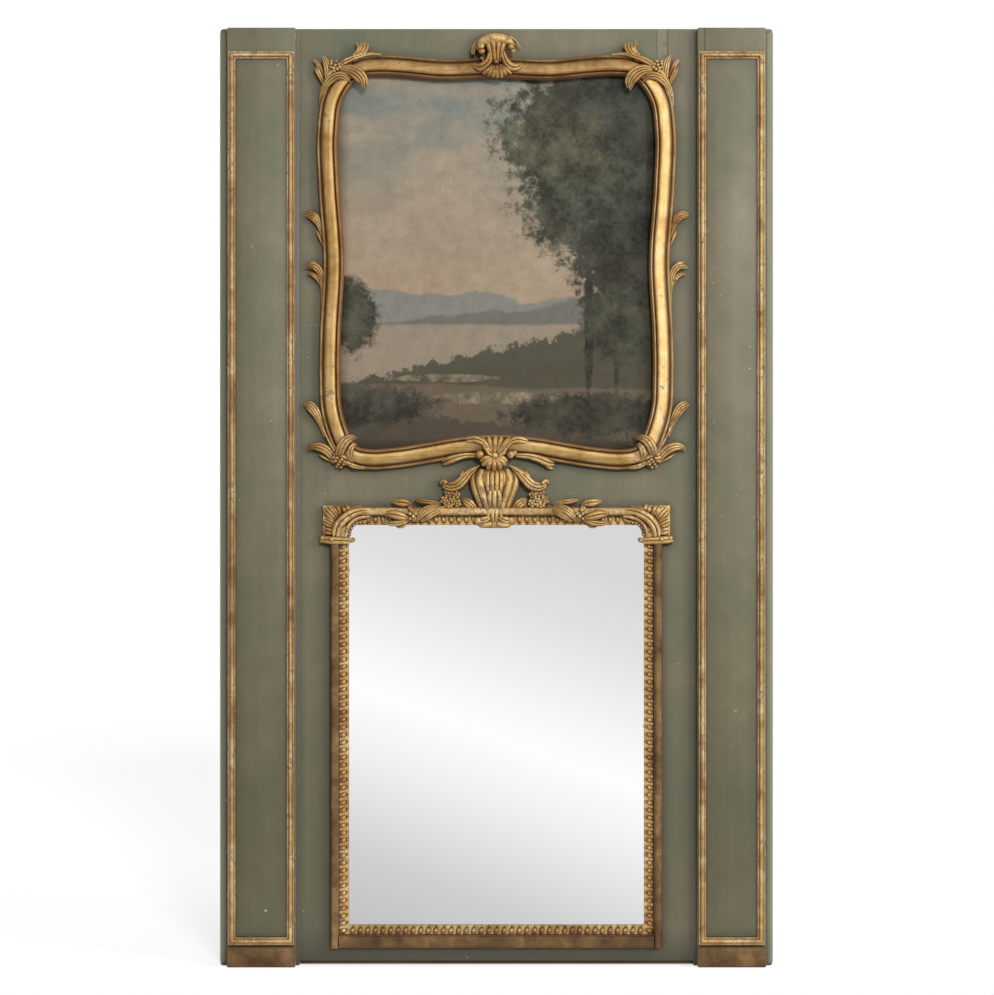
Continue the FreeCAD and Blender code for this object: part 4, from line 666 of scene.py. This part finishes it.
# The palmette at the foot: a fan above and below one knob, with a long leaf to each side.
palmette_root = (-4, FOOT / MM + 29)
palmette_leaves = [
    (2, [(-33, 0, 17, 10), (-60, -1, 21, 13), (-83, -7, 20, 17), (-106, -16, 11, 22)]),
    (1, [(-86, -7, 14, 6), (-101, -7, 14, 7), (-111, -12, 9, 6)]),
    (2, [(43, 0, 17, 10), (69, -2, 21, 13), (91, -8, 20, 16), (107, -15, 16, 18), (121, -17, 9, 13)]),
    (1, [(99, -15, 14, 6), (108, -24, 12, 8), (118, -27, 7, 6)]),
    (1, [(-7, 8, 34, 7), (-17, 22, 38, 12), (-25, 35, 34, 9)]),
    (1, [(-4, 8, 34, 7), (-9, 24, 38, 12), (-12, 37, 34, 10)]),
    (1, [(4, 8, 34, 7), (10, 24, 38, 12), (15, 37, 34, 10)]),
    (1, [(7, 8, 34, 7), (19, 22, 38, 12), (31, 35, 34, 9)]),
    (1, [(0, 6, 36, 8), (1, 25, 39, 13), (2, 40, 34, 10)]),
    (2, [(-4, 3, 35, 9), (-14, 11, 38, 12), (-22, 24, 39, 12), (-38, 32, 38, 15), (-60, 29, 33, 13)]),
    (2, [(7, 3, 35, 9), (19, 11, 38, 12), (29, 24, 39, 12), (46, 31, 38, 15), (69, 26, 33, 13)]),
    (1, [(-16, 14, 38, 7), (-12, 4, 38, 8), (-2, -3, 36, 7)]),
    (1, [(23, 14, 38, 7), (18, 4, 38, 8), (7, -3, 36, 7)]),
    (1, [(-6, -4, 33, 9), (-19, -6, 36, 11), (-29, -13, 30, 9)]),
    (1, [(6, -4, 33, 9), (16, -6, 36, 11), (26, -13, 30, 9)]),
    (1, [(-4, -5, 34, 9), (-14, -12, 37, 13), (-25, -21, 31, 11)]),
    (1, [(1, -5, 34, 9), (14, -12, 37, 13), (23, -21, 31, 11)]),
    (1, [(-3, -5, 34, 9), (-10, -18, 38, 13), (-14, -30, 32, 11)]),
    (1, [(0, -5, 34, 9), (9, -18, 38, 13), (12, -30, 32, 11)]),
    (1, [(-1, -5, 35, 9), (-1, -19, 39, 13), (-1, -32, 33, 11)]),
]
palmette_knobs = [
    (-29, 1, 32, 9), (32, 1, 31, 8), (40, 4, 28, 6), (0, -1, 34, 8),
]
carved("bottom_palmette", carving(palmette_root, palmette_leaves, palmette_knobs, deep=12))


# The vase of the cartouche: limewood turned to a baluster and half of it let into the
# panel; a fluted tongue lies over a second one between broad lobes, the foot in scrolls.

vase_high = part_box("cartouche_vase")[1]
vase_root = (-4, vase_high.z / MM)
# Down from the rim and out from the middle, in mm.
VASE_LINE = [
    (0, 40), (7, 44), (18, 47), (34, 46), (50, 40), (66, 32),
    (80, 26), (92, 24), (102, 29), (111, 28), (117, 20),
]
vase = bmesh.new()
profile = [vase.verts.new((radius * MM, 0, -drop * MM)) for drop, radius in VASE_LINE]
outline = [vase.edges.new(pair) for pair in zip(profile, profile[1:])]
bmesh.ops.spin(
    vase,
    geom=profile + outline,
    axis=(0, 0, 1),
    cent=(0, 0, 0),
    angle=math.tau,
    steps=48,
    use_merge=True,
)
bmesh.ops.holes_fill(vase, edges=vase.edges, sides=0)
bmesh.ops.scale(vase, vec=(0.98, 0.6, 1), verts=vase.verts)
bmesh.ops.translate(vase, vec=(vase_root[0] * MM, FIELD - 3 * MM, vase_high.z), verts=vase.verts)
everything = vase.verts[:] + vase.edges[:] + vase.faces[:]
bmesh.ops.bisect_plane(
    vase, geom=everything, plane_co=(0, FIELD - 0.2 * MM, 0), plane_no=(0, 1, 0), clear_outer=True
)
vase_leaves = [
    (4, [(0, 1, 26, 32), (0, -10, 32, 39), (0, -26, 34, 39), (0, -38, 34, 37), (0, -46, 30, 33)]),
    (3, [(0, -34, 29, 20), (0, -50, 32, 31), (0, -64, 30, 31), (0, -78, 25, 26)]),
    (2, [(0, -70, 18, 16), (0, -84, 22, 20), (0, -98, 22, 16), (0, -110, 18, 10)]),
]
for hand in (-1, 1):
    vase_leaves += [
        (
            1,
            [
                (hand * 37, 0, 10, 10), (hand * 43, -16, 15, 14), (hand * 40, -34, 18, 17),
                (hand * 32, -56, 17, 16), (hand * 25, -78, 15, 12), (hand * 24, -98, 16, 9),
            ],
        ),
        (
            1,
            [
                (hand * 24, 0, 24, 12), (hand * 30, -18, 26, 17), (hand * 26, -40, 27, 18),
                (hand * 19, -62, 25, 15), (hand * 13, -84, 21, 11), (hand * 13, -102, 20, 9),
            ],
        ),
        (
            2,
            [
                (hand * 8, -94, 20, 10), (hand * 20, -101, 24, 15),
                (hand * 31, -101, 21, 14), (hand * 38, -94, 15, 9),
            ],
        ),
        (1, [(hand * 6, -108, 20, 12), (hand * 22, -111, 22, 12), (hand * 36, -108, 15, 9)]),
    ]
foot_eyes = [(-33, -102, 19, 8), (33, -102, 19, 8)]
carved("cartouche_vase", carving(vase_root, vase_leaves, foot_eyes, 10, vase))

# The scroll arms: a leaf scroll from the vase's shoulder down to a bunch of six flowers,
# each of five petals round an eye.
arm_root = (-51, FOOT / MM + 3)
arm_leaves = [
    (1, [(17, 5, 20, 5), (3, -3, 24, 6), (-11, -11, 24, 6), (-18, -9, 20, 5)]),
    (
        3,
        [
            (11, 1, 20, 9), (-3, -9, 24, 15), (-15, -22, 27, 20),
            (-28, -34, 27, 21), (-45, -37, 25, 19), (-59, -28, 17, 12),
        ],
    ),
    (1, [(-48, -30, 24, 8), (-56, -25, 21, 9), (-62, -33, 15, 8)]),
    (1, [(-16, -26, 24, 8), (-20, -17, 24, 9), (-14, -6, 20, 8)]),
    (3, [(10, -83, 16, 10), (-3, -71, 22, 19), (-17, -61, 14, 12)]),
    (2, [(9, -87, 14, 9), (-6, -79, 19, 14), (-20, -74, 11, 9)]),
]
PETALS, PETAL_REACH = 5, 5.4
arm_flowers = []
for x, z in ((-45, -50), (-30, -53), (-53, -64), (-38, -66), (-45, -77), (-28, -70)):
    arm_flowers.append((x, z, 23, 3.4))
    for petal in range(PETALS):
        turn = petal * math.tau / PETALS + x
        across, up = PETAL_REACH * math.cos(turn), PETAL_REACH * math.sin(turn)
        arm_flowers.append((x + across, z + up, 17, 4.4))
carved_pair("scroll_arm", carving(arm_root, arm_leaves, arm_flowers, deep=12), -4 * MM)


# The mirror frame: a plain gilded band outside, and inside it a strip carved with a row
# of small leaves, each with a bead at its foot against the glass.

dress(moulding_gilding, "mirror_frame_top")
dress(band_gilding, "mirror_frame_left", "mirror_frame_right")
dress(dark_gilding, "mirror_frame_bottom")

LEAF_PITCH = 15 * MM
LEAF_SEAT = 7 * MM
# A leaf, its rib and its bead: across and over the strip, turn in degrees, half-sizes, in mm.
LEAF_PARTS = (
    (0, 8, -24, 5.2, 6.6, 5),
    (-1.5, 2.2, -12, 4, 1.6, 4),
    (1.5, 16, 0, 2.7, 2.5, 5),
)


def leaf_row(work, start, end, inward):
    """Small carved leaves from start to end, their tips towards the glass."""
    run = end - start
    count = round(run.length / LEAF_PITCH)
    along = run.normalized()
    face = Matrix((along, inward, Vector((0, -1, 0)))).transposed().to_4x4()
    for place in range(count):
        spot = start + run * (place + 0.5) / count
        base = Matrix.Translation(spot - Vector((0, LEAF_SEAT, 0))) @ face
        for across, over, turn, wide, long, high in LEAF_PARTS:
            sized = Matrix.Diagonal((wide * MM, long * MM, high * MM, 1))
            turned = Matrix.Rotation(math.radians(turn), 4, "Z")
            bmesh.ops.create_uvsphere(
                work,
                u_segments=8,
                v_segments=5,
                radius=1,
                matrix=base @ Matrix.Translation((across * MM, over * MM, 0)) @ turned @ sized,
            )


def strip_bed(work, low, high):
    """The sunk bed that the leaves stand on."""
    bed = bmesh.ops.create_cube(work, size=1)
    bmesh.ops.scale(work, vec=high - low, verts=bed["verts"])
    bmesh.ops.translate(work, vec=(low + high) / 2, verts=bed["verts"])


# Each strip's axis across it, and which way along that axis the glass lies.
strip_runs = {"left": ("x", 1), "right": ("x", -1), "top": ("z", -1), "bottom": ("z", 1)}
for side, (axis, towards) in strip_runs.items():
    node = f"mirror_bead_strip_{side}"
    low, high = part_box(node)
    work = bmesh.new()
    strip_bed(work, Vector((low.x, FIELD - 6 * MM, low.z)), high)
    if axis == "x":
        x = low.x if towards > 0 else high.x
        leaf_row(work, Vector((x, FIELD, low.z)), Vector((x, FIELD, high.z)), Vector((towards, 0, 0)))
    else:
        z = low.z if towards > 0 else high.z
        leaf_row(work, Vector((low.x, FIELD, z)), Vector((high.x, FIELD, z)), Vector((0, 0, towards)))
    leafing = moulding_gilding if side == "bottom" else carved_gilding
    new_piece(f"{node}_carved", work, leafing, "gilded_wood", node, smooth=60)


# The corner blocks: a square block whose face is cut with leaves that spread to its outer
# edges; the band and a bead row turn a quarter circle round the glass, over a beaded foot.

block_low, block_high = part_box("left_corner_block")
GLASS_EDGE = 295
turn_middle = (-(GLASS_EDGE - 26), 855)
block_work = bmesh.new()
strip_bed(
    block_work,
    Vector((block_low.x + 2.5 * MM, FIELD - 11 * MM, block_low.z + 5 * MM)),
    Vector((-(GLASS_EDGE + 2) * MM, FIELD, block_high.z - 6 * MM)),
)
strip_bed(
    block_work,
    Vector((-(GLASS_EDGE + 3) * MM, FIELD - 10.5 * MM, 0.889)),
    Vector((turn_middle[0] * MM, FIELD, block_high.z - 7 * MM)),
)
block_leaves = [
    (2, [(-50, 8, 13, 8), (-64, 13, 18, 17), (-77, 16, 14, 17)]),
    (3, [(-49, 20, 14, 8), (-63, 30, 20, 20), (-77, 36, 15, 19)]),
    (3, [(-47, 30, 15, 8), (-60, 48, 22, 22), (-74, 62, 16, 20)]),
    (2, [(-40, 43, 16, 8), (-49, 56, 22, 17), (-54, 66, 16, 16)]),
    (2, [(-26, 49, 17, 10), (-31, 58, 23, 19), (-35, 67, 16, 18)]),
    (2, [(-10, 52, 15, 8), (-15, 58, 19, 15), (-18, 62, 14, 14)]),
    (
        2,
        [
            (17, 56, 22, 10), (-3, 54, 25, 15), (-21, 48, 27, 19),
            (-38, 36, 28, 20), (-49, 20, 28, 20), (-52, 0, 26, 20),
        ],
    ),
    (1, [(17, 44, 16, 8), (0, 42, 18, 9), (-16, 36, 19, 9), (-28, 22, 19, 9), (-32, 1, 18, 9)]),
    (1, [(10, 34, 10, 8), (-8, 32, 11, 8), (-18, 26, 11, 8), (-25, 16, 11, 8), (-26, 0, 11, 8)]),
    (2, [(-83, -2, 19, 15), (-63, -4, 25, 16), (-43, -5, 25, 16), (-17, -6, 19, 14)]),
]
block_balls = [
    (4, 32, 14, 3.2), (-3, 31, 14, 3.2), (-10, 30, 14, 3.2), (-16, 26, 14, 3.2), (-21, 20, 14, 3.2),
    (-24, 14, 14, 3.2), (-25, 7, 14, 3.2), (-60, -2, 27, 5.5), (-78, 0, 21, 5.5), (-19, -4, 19, 5),
]
carved_pair("corner_block", carving(turn_middle, block_leaves, block_balls, 14, block_work))


# Laurel sprigs laid across the head of the mirror frame: broad pointed leaves, two or
# three ridges each, round a knot of berries.

head_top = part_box("mirror_frame_top")[1].z / MM
sprig_root = (135 - GLASS_EDGE, head_top - 10)
sprig_leaves = [
    (2, [(-13, 12, 24, 8), (-7, -3, 29, 11), (-2, -20, 24, 8)]),
    (2, [(-19, -23, 18, 4), (-30, -28, 20, 9), (-42, -29, 13, 3)]),
    (2, [(-14, -15, 22, 5), (-30, -21, 27, 12), (-50, -23, 24, 10), (-71, -20, 14, 3)]),
    (2, [(-3, 24, 20, 4), (11, 22, 28, 10), (28, 20, 28, 10), (51, 18, 18, 3)]),
    (2, [(-8, 13, 22, 5), (-21, 18, 30, 16), (-37, 20, 30, 15), (-52, 22, 19, 3)]),
    (2, [(-13, -12, 24, 6), (-31, -8, 31, 17), (-50, -4, 29, 16), (-67, -5, 19, 3)]),
    (3, [(9, -19, 22, 5), (23, -8, 28, 14), (41, 2, 27, 14), (62, 14, 16, 3)]),
    (3, [(0, -18, 24, 6), (10, -4, 31, 15), (27, 8, 30, 15), (50, 15, 18, 3)]),
]
sprig_berries = [
    (-14, 8, 30, 4), (-10, 4, 32, 4.2), (-12, -3, 31, 4), (-6, -8, 32, 4), (-12, -13, 29, 3.6),
    (-1, -3, 30, 3.8),
]
carved_pair("laurel_sprig", carving(sprig_root, sprig_leaves, sprig_berries))


# The mirror: a plate of old glass, silvered behind, with faint tarnish creeping in from
# the edges of its opening.

def silvered_glass():
    finish, tree, surface, place = new_finish("silvered_glass")
    parts = add(tree, "SeparateXYZ", {"Vector": place})
    side = add(tree, "Math", {0: parts.outputs["X"]}, operation="ABSOLUTE")
    rim = add(tree, "MapRange", {"Value": side, 1: 0.27, 2: 0.3, 3: 0, 4: 0.2})
    bloom = add(tree, "TexNoise", {"Vector": place, "Scale": 45, "Detail": 6, "Roughness": 0.7})
    spread = add(tree, "Math", {0: bloom, 1: rim}, operation="ADD")
    spots = add(tree, "MapRange", {"Value": spread, 1: 0.76, 2: 0.82, 3: 0, 4: 0.6})
    silver = add(tree, "MixRGB", {"Fac": spots, "Color1": "#fefefe", "Color2": "#8b8272"})
    blur = add(tree, "MapRange", {"Value": spots, 1: 0, 2: 1, 3: 0.015, 4: 0.35})
    feed(tree, surface, {"Base Color": silver, "Roughness": blur, "Metallic": 1})
    return finish


dress(silvered_glass(), "mirror_plate")


# The picture: a canvas of linen on its stretcher, primed, and painted in oil with a
# plain landscape, a lake under an evening sky beside tall trees. Its varnish has browned.

def evening_sky(tree, place, up):
    """Dusk rose low down, grey blue above, with long soft clouds."""
    long_clouds = add(tree, "Mapping", {"Vector": place, "Scale": (2.2, 1, 6)})
    cloud = add(tree, "TexNoise", {"Vector": long_clouds, "Scale": 2.4, "Detail": 6, "Roughness": 0.55})
    climb = add(tree, "MapRange", {"Value": up, 1: 1.3, 2: 1.8, 3: 0, 4: 1})
    sky_tones = [(0, "#b39a80"), (1, "#7f8a84"), (0.35, "#a8967f"), (0.7, "#939182")]
    sky = add(tree, "ValToRGB", {"Fac": climb}, sky_tones)
    cloudy = add(tree, "MapRange", {"Value": cloud, 1: 0.42, 2: 0.66, 3: 0, 4: 0.75})
    return add(tree, "MixRGB", {"Fac": cloudy, "Color1": sky, "Color2": "#b8a48c"})


def land_and_lake(tree, under, across, up, soft, leafy):
    """Hills, lake and banks, each painted over the one behind it."""
    # Colour, height at the middle, slope, how rough its line is, and the kind of roughness.
    stretches = (
        ("#8d8a80", 1.345, -0.05, 0.05, soft),
        ("#77756a", 1.315, 0.12, 0.035, soft),
        ("#a0917c", 1.285, 0, 0.004, soft),
        ("#565344", 1.235, 0.22, 0.05, leafy),
        ("#55503f", 1.2, 0.1, 0.03, leafy),
        ("#706250", 1.16, -0.03, 0.02, soft),
        ("#544b3e", 1.085, -0.12, 0.05, leafy),
    )
    for colour, level, slope, rough, edge in stretches:
        line = add(tree, "Math", {0: across, 1: slope, 2: level}, operation="MULTIPLY_ADD")
        rise = add(tree, "Math", {0: edge, 1: 2 * rough, 2: line}, operation="MULTIPLY_ADD")
        below = add(tree, "Math", {0: rise, 1: up}, operation="SUBTRACT")
        cover = add(tree, "MapRange", {"Value": below, 1: rough, 2: rough + 0.006, 3: 0, 4: 1})
        under = add(tree, "MixRGB", {"Fac": cover, "Color1": under, "Color2": colour})
    return under


def tall_trees(tree, under, place, across, up, leafy):
    """Lights on the ground, trunks, and leaves in masses of lighter clumps and darker gaps."""
    dabs = add(tree, "TexNoise", {"Vector": place, "Scale": 90, "Detail": 3, "Roughness": 0.6})
    clumps = add(tree, "TexNoise", {"Vector": place, "Scale": 15, "Detail": 9, "Roughness": 0.7})
    modelling = add(tree, "MapRange", {"Value": clumps, 1: 0.42, 2: 0.6, 3: 0.45, 4: 1.85})
    # Colour, middle and half-widths.
    masses = (
        ("#7d715b", 0.02, 1.135, 0.17, 0.014),
        ("#7c705a", -0.1, 1.175, 0.12, 0.009),
        ("#2f2b24", 0.185, 1.3, 0.011, 0.2),
        ("#39342a", 0.24, 1.27, 0.008, 0.16),
        ("#383930", 0.235, 1.66, 0.25, 0.2),
        ("#434438", 0.2, 1.52, 0.17, 0.13),
        ("#31312a", 0.29, 1.42, 0.16, 0.14),
        ("#4f4f3d", 0.12, 1.64, 0.12, 0.085),
        ("#414134", 0.27, 1.29, 0.12, 0.1),
        ("#434235", -0.3, 1.3, 0.07, 0.085),
        ("#403e33", -0.27, 1.12, 0.16, 0.045),
        ("#3a372d", 0.2, 1.1, 0.2, 0.05),
    )
    lit = add(tree, "MapRange", {"Value": dabs, 1: 0.45, 2: 0.75, 3: 0, 4: 0.22})
    for colour, x, z, wide, tall in masses:
        aside = add(tree, "Math", {0: across, 1: x}, operation="SUBTRACT")
        above = add(tree, "Math", {0: up, 1: z}, operation="SUBTRACT")
        nearer = add(tree, "CombineXYZ", {"X": aside, "Y": above})
        scaled = add(tree, "VectorMath", {0: nearer, 1: (1 / wide, 1 / tall, 0)}, operation="MULTIPLY")
        away = add(tree, "VectorMath", {0: scaled}, operation="LENGTH").outputs["Value"]
        ragged = add(tree, "Math", {0: leafy, 1: 1.5, 2: away}, operation="MULTIPLY_ADD")
        cover = add(tree, "MapRange", {"Value": ragged, 1: 1.74, 2: 1.5, 3: 0, 4: 0.96})
        mass = {"Fac": 1, "Color1": colour, "Color2": modelling}
        toned = add(tree, "MixRGB", mass, blend_type="MULTIPLY")
        under = add(tree, "MixRGB", {"Fac": cover, "Color1": under, "Color2": toned})
        leaves = add(tree, "Math", {0: lit, 1: cover}, operation="MULTIPLY")
        under = add(tree, "MixRGB", {"Fac": leaves, "Color1": under, "Color2": "#706b50"})
    return under


def oil_landscape():
    """The picture, its brushwork, and a varnish with craquelure in cells of about 9 mm."""
    finish, tree, surface, place = new_finish("oil_landscape_on_linen")
    parts = add(tree, "SeparateXYZ", {"Vector": place})
    across, up = parts.outputs["X"], parts.outputs["Z"]
    soft = add(tree, "TexNoise", {"Vector": place, "Scale": 5, "Detail": 6, "Roughness": 0.6})
    leafy = add(tree, "TexNoise", {"Vector": place, "Scale": 34, "Detail": 7, "Roughness": 0.72})
    under = evening_sky(tree, place, up)
    under = land_and_lake(tree, under, across, up, soft, leafy)
    under = tall_trees(tree, under, place, across, up, leafy)
    stroke = add(tree, "MapRange", {"Value": leafy, 1: 0.3, 2: 0.7, 3: 0.84, 4: 1.13})
    stroked = add(tree, "VectorMath", {0: under, "Scale": stroke}, operation="SCALE")
    shaken = add(tree, "VectorMath", {0: place, 1: soft.outputs["Color"]}, operation="ADD")
    cells = add(tree, "TexVoronoi", {"Vector": shaken, "Scale": 105}, feature="DISTANCE_TO_EDGE")
    crack = add(tree, "MapRange", {"Value": cells, 1: 0.05, 2: 0.0, 3: 0, 4: 0.4})
    cracked = add(tree, "MixRGB", {"Fac": crack, "Color1": stroked, "Color2": "#2b261d"})
    relief = add(tree, "Bump", {"Height": cells, "Strength": 0.2, "Distance": 0.3 * MM})
    feed(tree, surface, {"Base Color": cracked, "Normal": relief})
    feed(tree, surface, {"Roughness": 0.5, "Specular IOR Level": 0.15})
    return finish


canvas_low, canvas_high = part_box("picture_canvas")
canvas = bmesh.new()
bmesh.ops.create_grid(canvas, x_segments=24, y_segments=28, size=0.5)
canvas_size = canvas_high - canvas_low
upright = Matrix.Rotation(math.pi / 2, 4, "X")
bmesh.ops.scale(canvas, vec=(canvas_size.x, canvas_size.z, 1), verts=canvas.verts)
bmesh.ops.transform(canvas, matrix=upright, verts=canvas.verts)
bmesh.ops.translate(canvas, vec=(canvas_low + canvas_high) / 2, verts=canvas.verts)
for vert in canvas.verts:
    slack = math.sin(vert.co.x * 9) * math.sin(vert.co.z * 7) * 0.25 * MM
    vert.co.y = canvas_low.y + 0.5 * MM + slack
bmesh.ops.recalc_face_normals(canvas, faces=canvas.faces)
bmesh.ops.solidify(canvas, geom=canvas.faces[:], thickness=0.9 * MM)
landscape = oil_landscape()
picture = new_piece(
    "painted_canvas_on_stretcher", canvas, landscape, "painted_canvas", "picture_canvas"
)


# Behind: battens, back boards, stretcher, fillets and pegs of bare pine, sawn and planed,
# gone grey-brown with dust.

def bare_pine(name, pale, dark, grain):
    """Pine left bare; grain is how much finer the figure is along x, y and z."""
    finish, tree, surface, place = new_finish(name)
    lengthwise = add(tree, "Mapping", {"Vector": place, "Scale": grain})
    rings = add(tree, "TexNoise", {"Vector": lengthwise, "Scale": 3, "Detail": 5, "Distortion": 0.3})
    wood = add(tree, "ValToRGB", {"Fac": rings}, [(0.35, dark), (0.62, pale)])
    dust = add(tree, "TexNoise", {"Vector": place, "Scale": 6, "Detail": 4})
    dusty = add(tree, "MapRange", {"Value": dust, 1: 0.4, 2: 0.7, 3: 0, 4: 0.45})
    greyed = add(tree, "MixRGB", {"Fac": dusty, "Color1": wood, "Color2": "#8d8371"})
    corner = add(tree, "AmbientOcclusion", {"Distance": 15 * MM}, samples=4)
    shade = add(tree, "MapRange", {"Value": corner.outputs["AO"], 1: 0.95, 2: 0.4, 3: 0, 4: 0.6})
    shaded = add(tree, "MixRGB", {"Fac": shade, "Color1": greyed, "Color2": "#33281b"})
    fibres = add(tree, "Bump", {"Height": rings, "Strength": 0.3, "Distance": 0.5 * MM})
    feed(tree, surface, {"Base Color": shaded, "Normal": fibres, "Roughness": 0.75})
    return finish


dress(
    bare_pine("sawn_pine_battens", "#a98a5f", "#7d6240", (1.2, 38, 38)),
    "bottom_batten",
    "middle_batten",
    "top_batten",
    "glass_fillets",
    "stretcher_bars",
)
back_pine = bare_pine("planed_pine_back_boards", "#b59a70", "#8b7049", (38, 38, 0.9))
dress(back_pine, "mirror_back_board", "picture_back_board")


# The hanging plates: forged iron let into the top batten, blackened, with rust starting.

def forged_iron():
    finish, tree, surface, place = new_finish("forged_iron")
    scale = add(tree, "TexNoise", {"Vector": place, "Scale": 120, "Detail": 5})
    rust = add(tree, "ValToRGB", {"Fac": scale}, [(0.45, "#2c2a28"), (0.72, "#6b4026")])
    matt = add(tree, "MapRange", {"Value": scale, 1: 0.4, 2: 0.7, 3: 0.45, 4: 0.85})
    pits = add(tree, "Bump", {"Height": scale, "Strength": 0.4, "Distance": 0.3 * MM})
    feed(tree, surface, {"Base Color": rust, "Metallic": 0.8, "Roughness": matt, "Normal": pits})
    return finish


dress(forged_iron(), "left_hanging_plate", "right_hanging_plate", "hanging_plate_screws")


# The studio: a white floor that keeps the panel's shadow, white all round, a soft frontal
# light, a lamp from the right that models the carving, and the camera straight in front.

CAMERA_DISTANCE = 7
CAMERA_HEIGHT = 0.936
VIEW_WIDTH = 1.99
FILM = 36
FLOOR_REACH = 30
FLOOR_LIFT = 0.57

floor_shape = bmesh.new()
bmesh.ops.create_grid(floor_shape, x_segments=1, y_segments=1, size=1)
bmesh.ops.scale(floor_shape, vec=(FLOOR_REACH, FLOOR_REACH, 1), verts=floor_shape.verts)
bmesh.ops.translate(floor_shape, vec=(0, FLOOR_REACH - 0.3, 0), verts=floor_shape.verts)
floor_mesh = bpy.data.meshes.new("floor")
floor_shape.to_mesh(floor_mesh)
floor_shape.free()
floor = bpy.data.objects.new("floor", floor_mesh)
bpy.context.scene.collection.objects.link(floor)

white = bpy.data.materials.new("white_paper")
white.use_nodes = True
paper = white.node_tree
paper.nodes.remove(paper.nodes["Principled BSDF"])
ray = add(paper, "LightPath").outputs
seen = add(paper, "Math", {0: ray["Is Camera Ray"], 1: ray["Is Glossy Ray"]}, operation="ADD")
seen = add(paper, "Math", {0: seen, 1: ray["Is Transmission Ray"]}, operation="ADD")
lifted = add(paper, "Math", {0: seen, 1: FLOOR_LIFT}, operation="MULTIPLY")
matt_paper = add(paper, "BsdfDiffuse", {"Color": "#fafafa"})
glow = add(paper, "Emission", {"Strength": lifted})
both = add(paper, "AddShader", {0: matt_paper, 1: glow})
feed(paper, paper.nodes["Material Output"], {"Surface": both})
floor_mesh.materials.append(white)

world = bpy.data.worlds.new("studio")
bpy.context.scene.world = world
world.use_nodes = True
sky = world.node_tree
sky.nodes.remove(sky.nodes["Background"])
ray = add(sky, "LightPath").outputs
direction = add(sky, "TexCoord").outputs["Generated"]
aim = add(sky, "SeparateXYZ", {"Vector": direction})
leaning = add(sky, "Math", {0: aim.outputs["X"], 1: 0.356, 2: 0.069}, operation="MULTIPLY_ADD")
upward = add(sky, "Math", {0: aim.outputs["Z"], 1: leaning}, operation="ADD")
# The card that the mirror shows: greys from low on the left to high on the right.
CARD_TONES = [
    (0.1, "#a0a0a0"), (1, "#c4c4c4"), (0.412, "#bfc0c2"), (0.442, "#cfd0d1"), (0.479, "#f2f2f2"),
    (0.5, "#fefefe"), (0.512, "#fafafa"), (0.55, "#e2e2e2"), (0.575, "#d8d8d8"),
]
climb = add(sky, "MapRange", {"Value": upward, 1: -0.4, 2: 0.4, 3: 0, 4: 1})
card = add(sky, "ValToRGB", {"Fac": climb}, CARD_TONES)
seen = add(sky, "MixRGB", {"Fac": ray["Is Camera Ray"], "Color1": card, "Color2": "#ffffff"})
bounced = add(sky, "Math", {0: ray["Is Glossy Ray"], 1: ray["Is Transmission Ray"]}, operation="ADD")
shown = add(sky, "Math", {0: bounced, 1: ray["Is Camera Ray"]}, operation="ADD", use_clamp=True)
strength = add(sky, "MapRange", {"Value": shown, 1: 0, 2: 1, 3: 0.62, 4: 1})
backdrop = add(sky, "Background", {"Color": seen, "Strength": strength})
feed(sky, sky.nodes["World Output"], {"Surface": backdrop})



def lamp(name, kind, energy, place, towards):
    """A lamp at a place, turned to shine in a direction."""
    light = bpy.data.lights.new(name, kind)
    light.energy = energy
    stand = bpy.data.objects.new(name, light)
    bpy.context.scene.collection.objects.link(stand)
    stand.location = place
    stand.rotation_euler = towards.to_track_quat("-Z", "Y").to_euler()
    return light


lamp("key", "SUN", 1.15, Vector(), Vector((-0.18, 1, -0.29))).angle = math.radians(9)
SIDE_PLACE = Vector((3, -2.6, 2.1))
lamp("side", "AREA", 65, SIDE_PLACE, Vector((0, 0, 0.9)) - SIDE_PLACE).size = 1.6

camera_lens = bpy.data.cameras.new("camera")
camera_lens.sensor_width = FILM
camera_lens.lens = FILM * CAMERA_DISTANCE / VIEW_WIDTH
camera = bpy.data.objects.new("camera", camera_lens)
bpy.context.scene.collection.objects.link(camera)
camera.location = (0.001, FIELD - CAMERA_DISTANCE, CAMERA_HEIGHT)
camera.rotation_euler = (math.pi / 2, 0, 0)
bpy.context.scene.camera = camera
bpy.context.scene.view_settings.view_transform = "Standard"
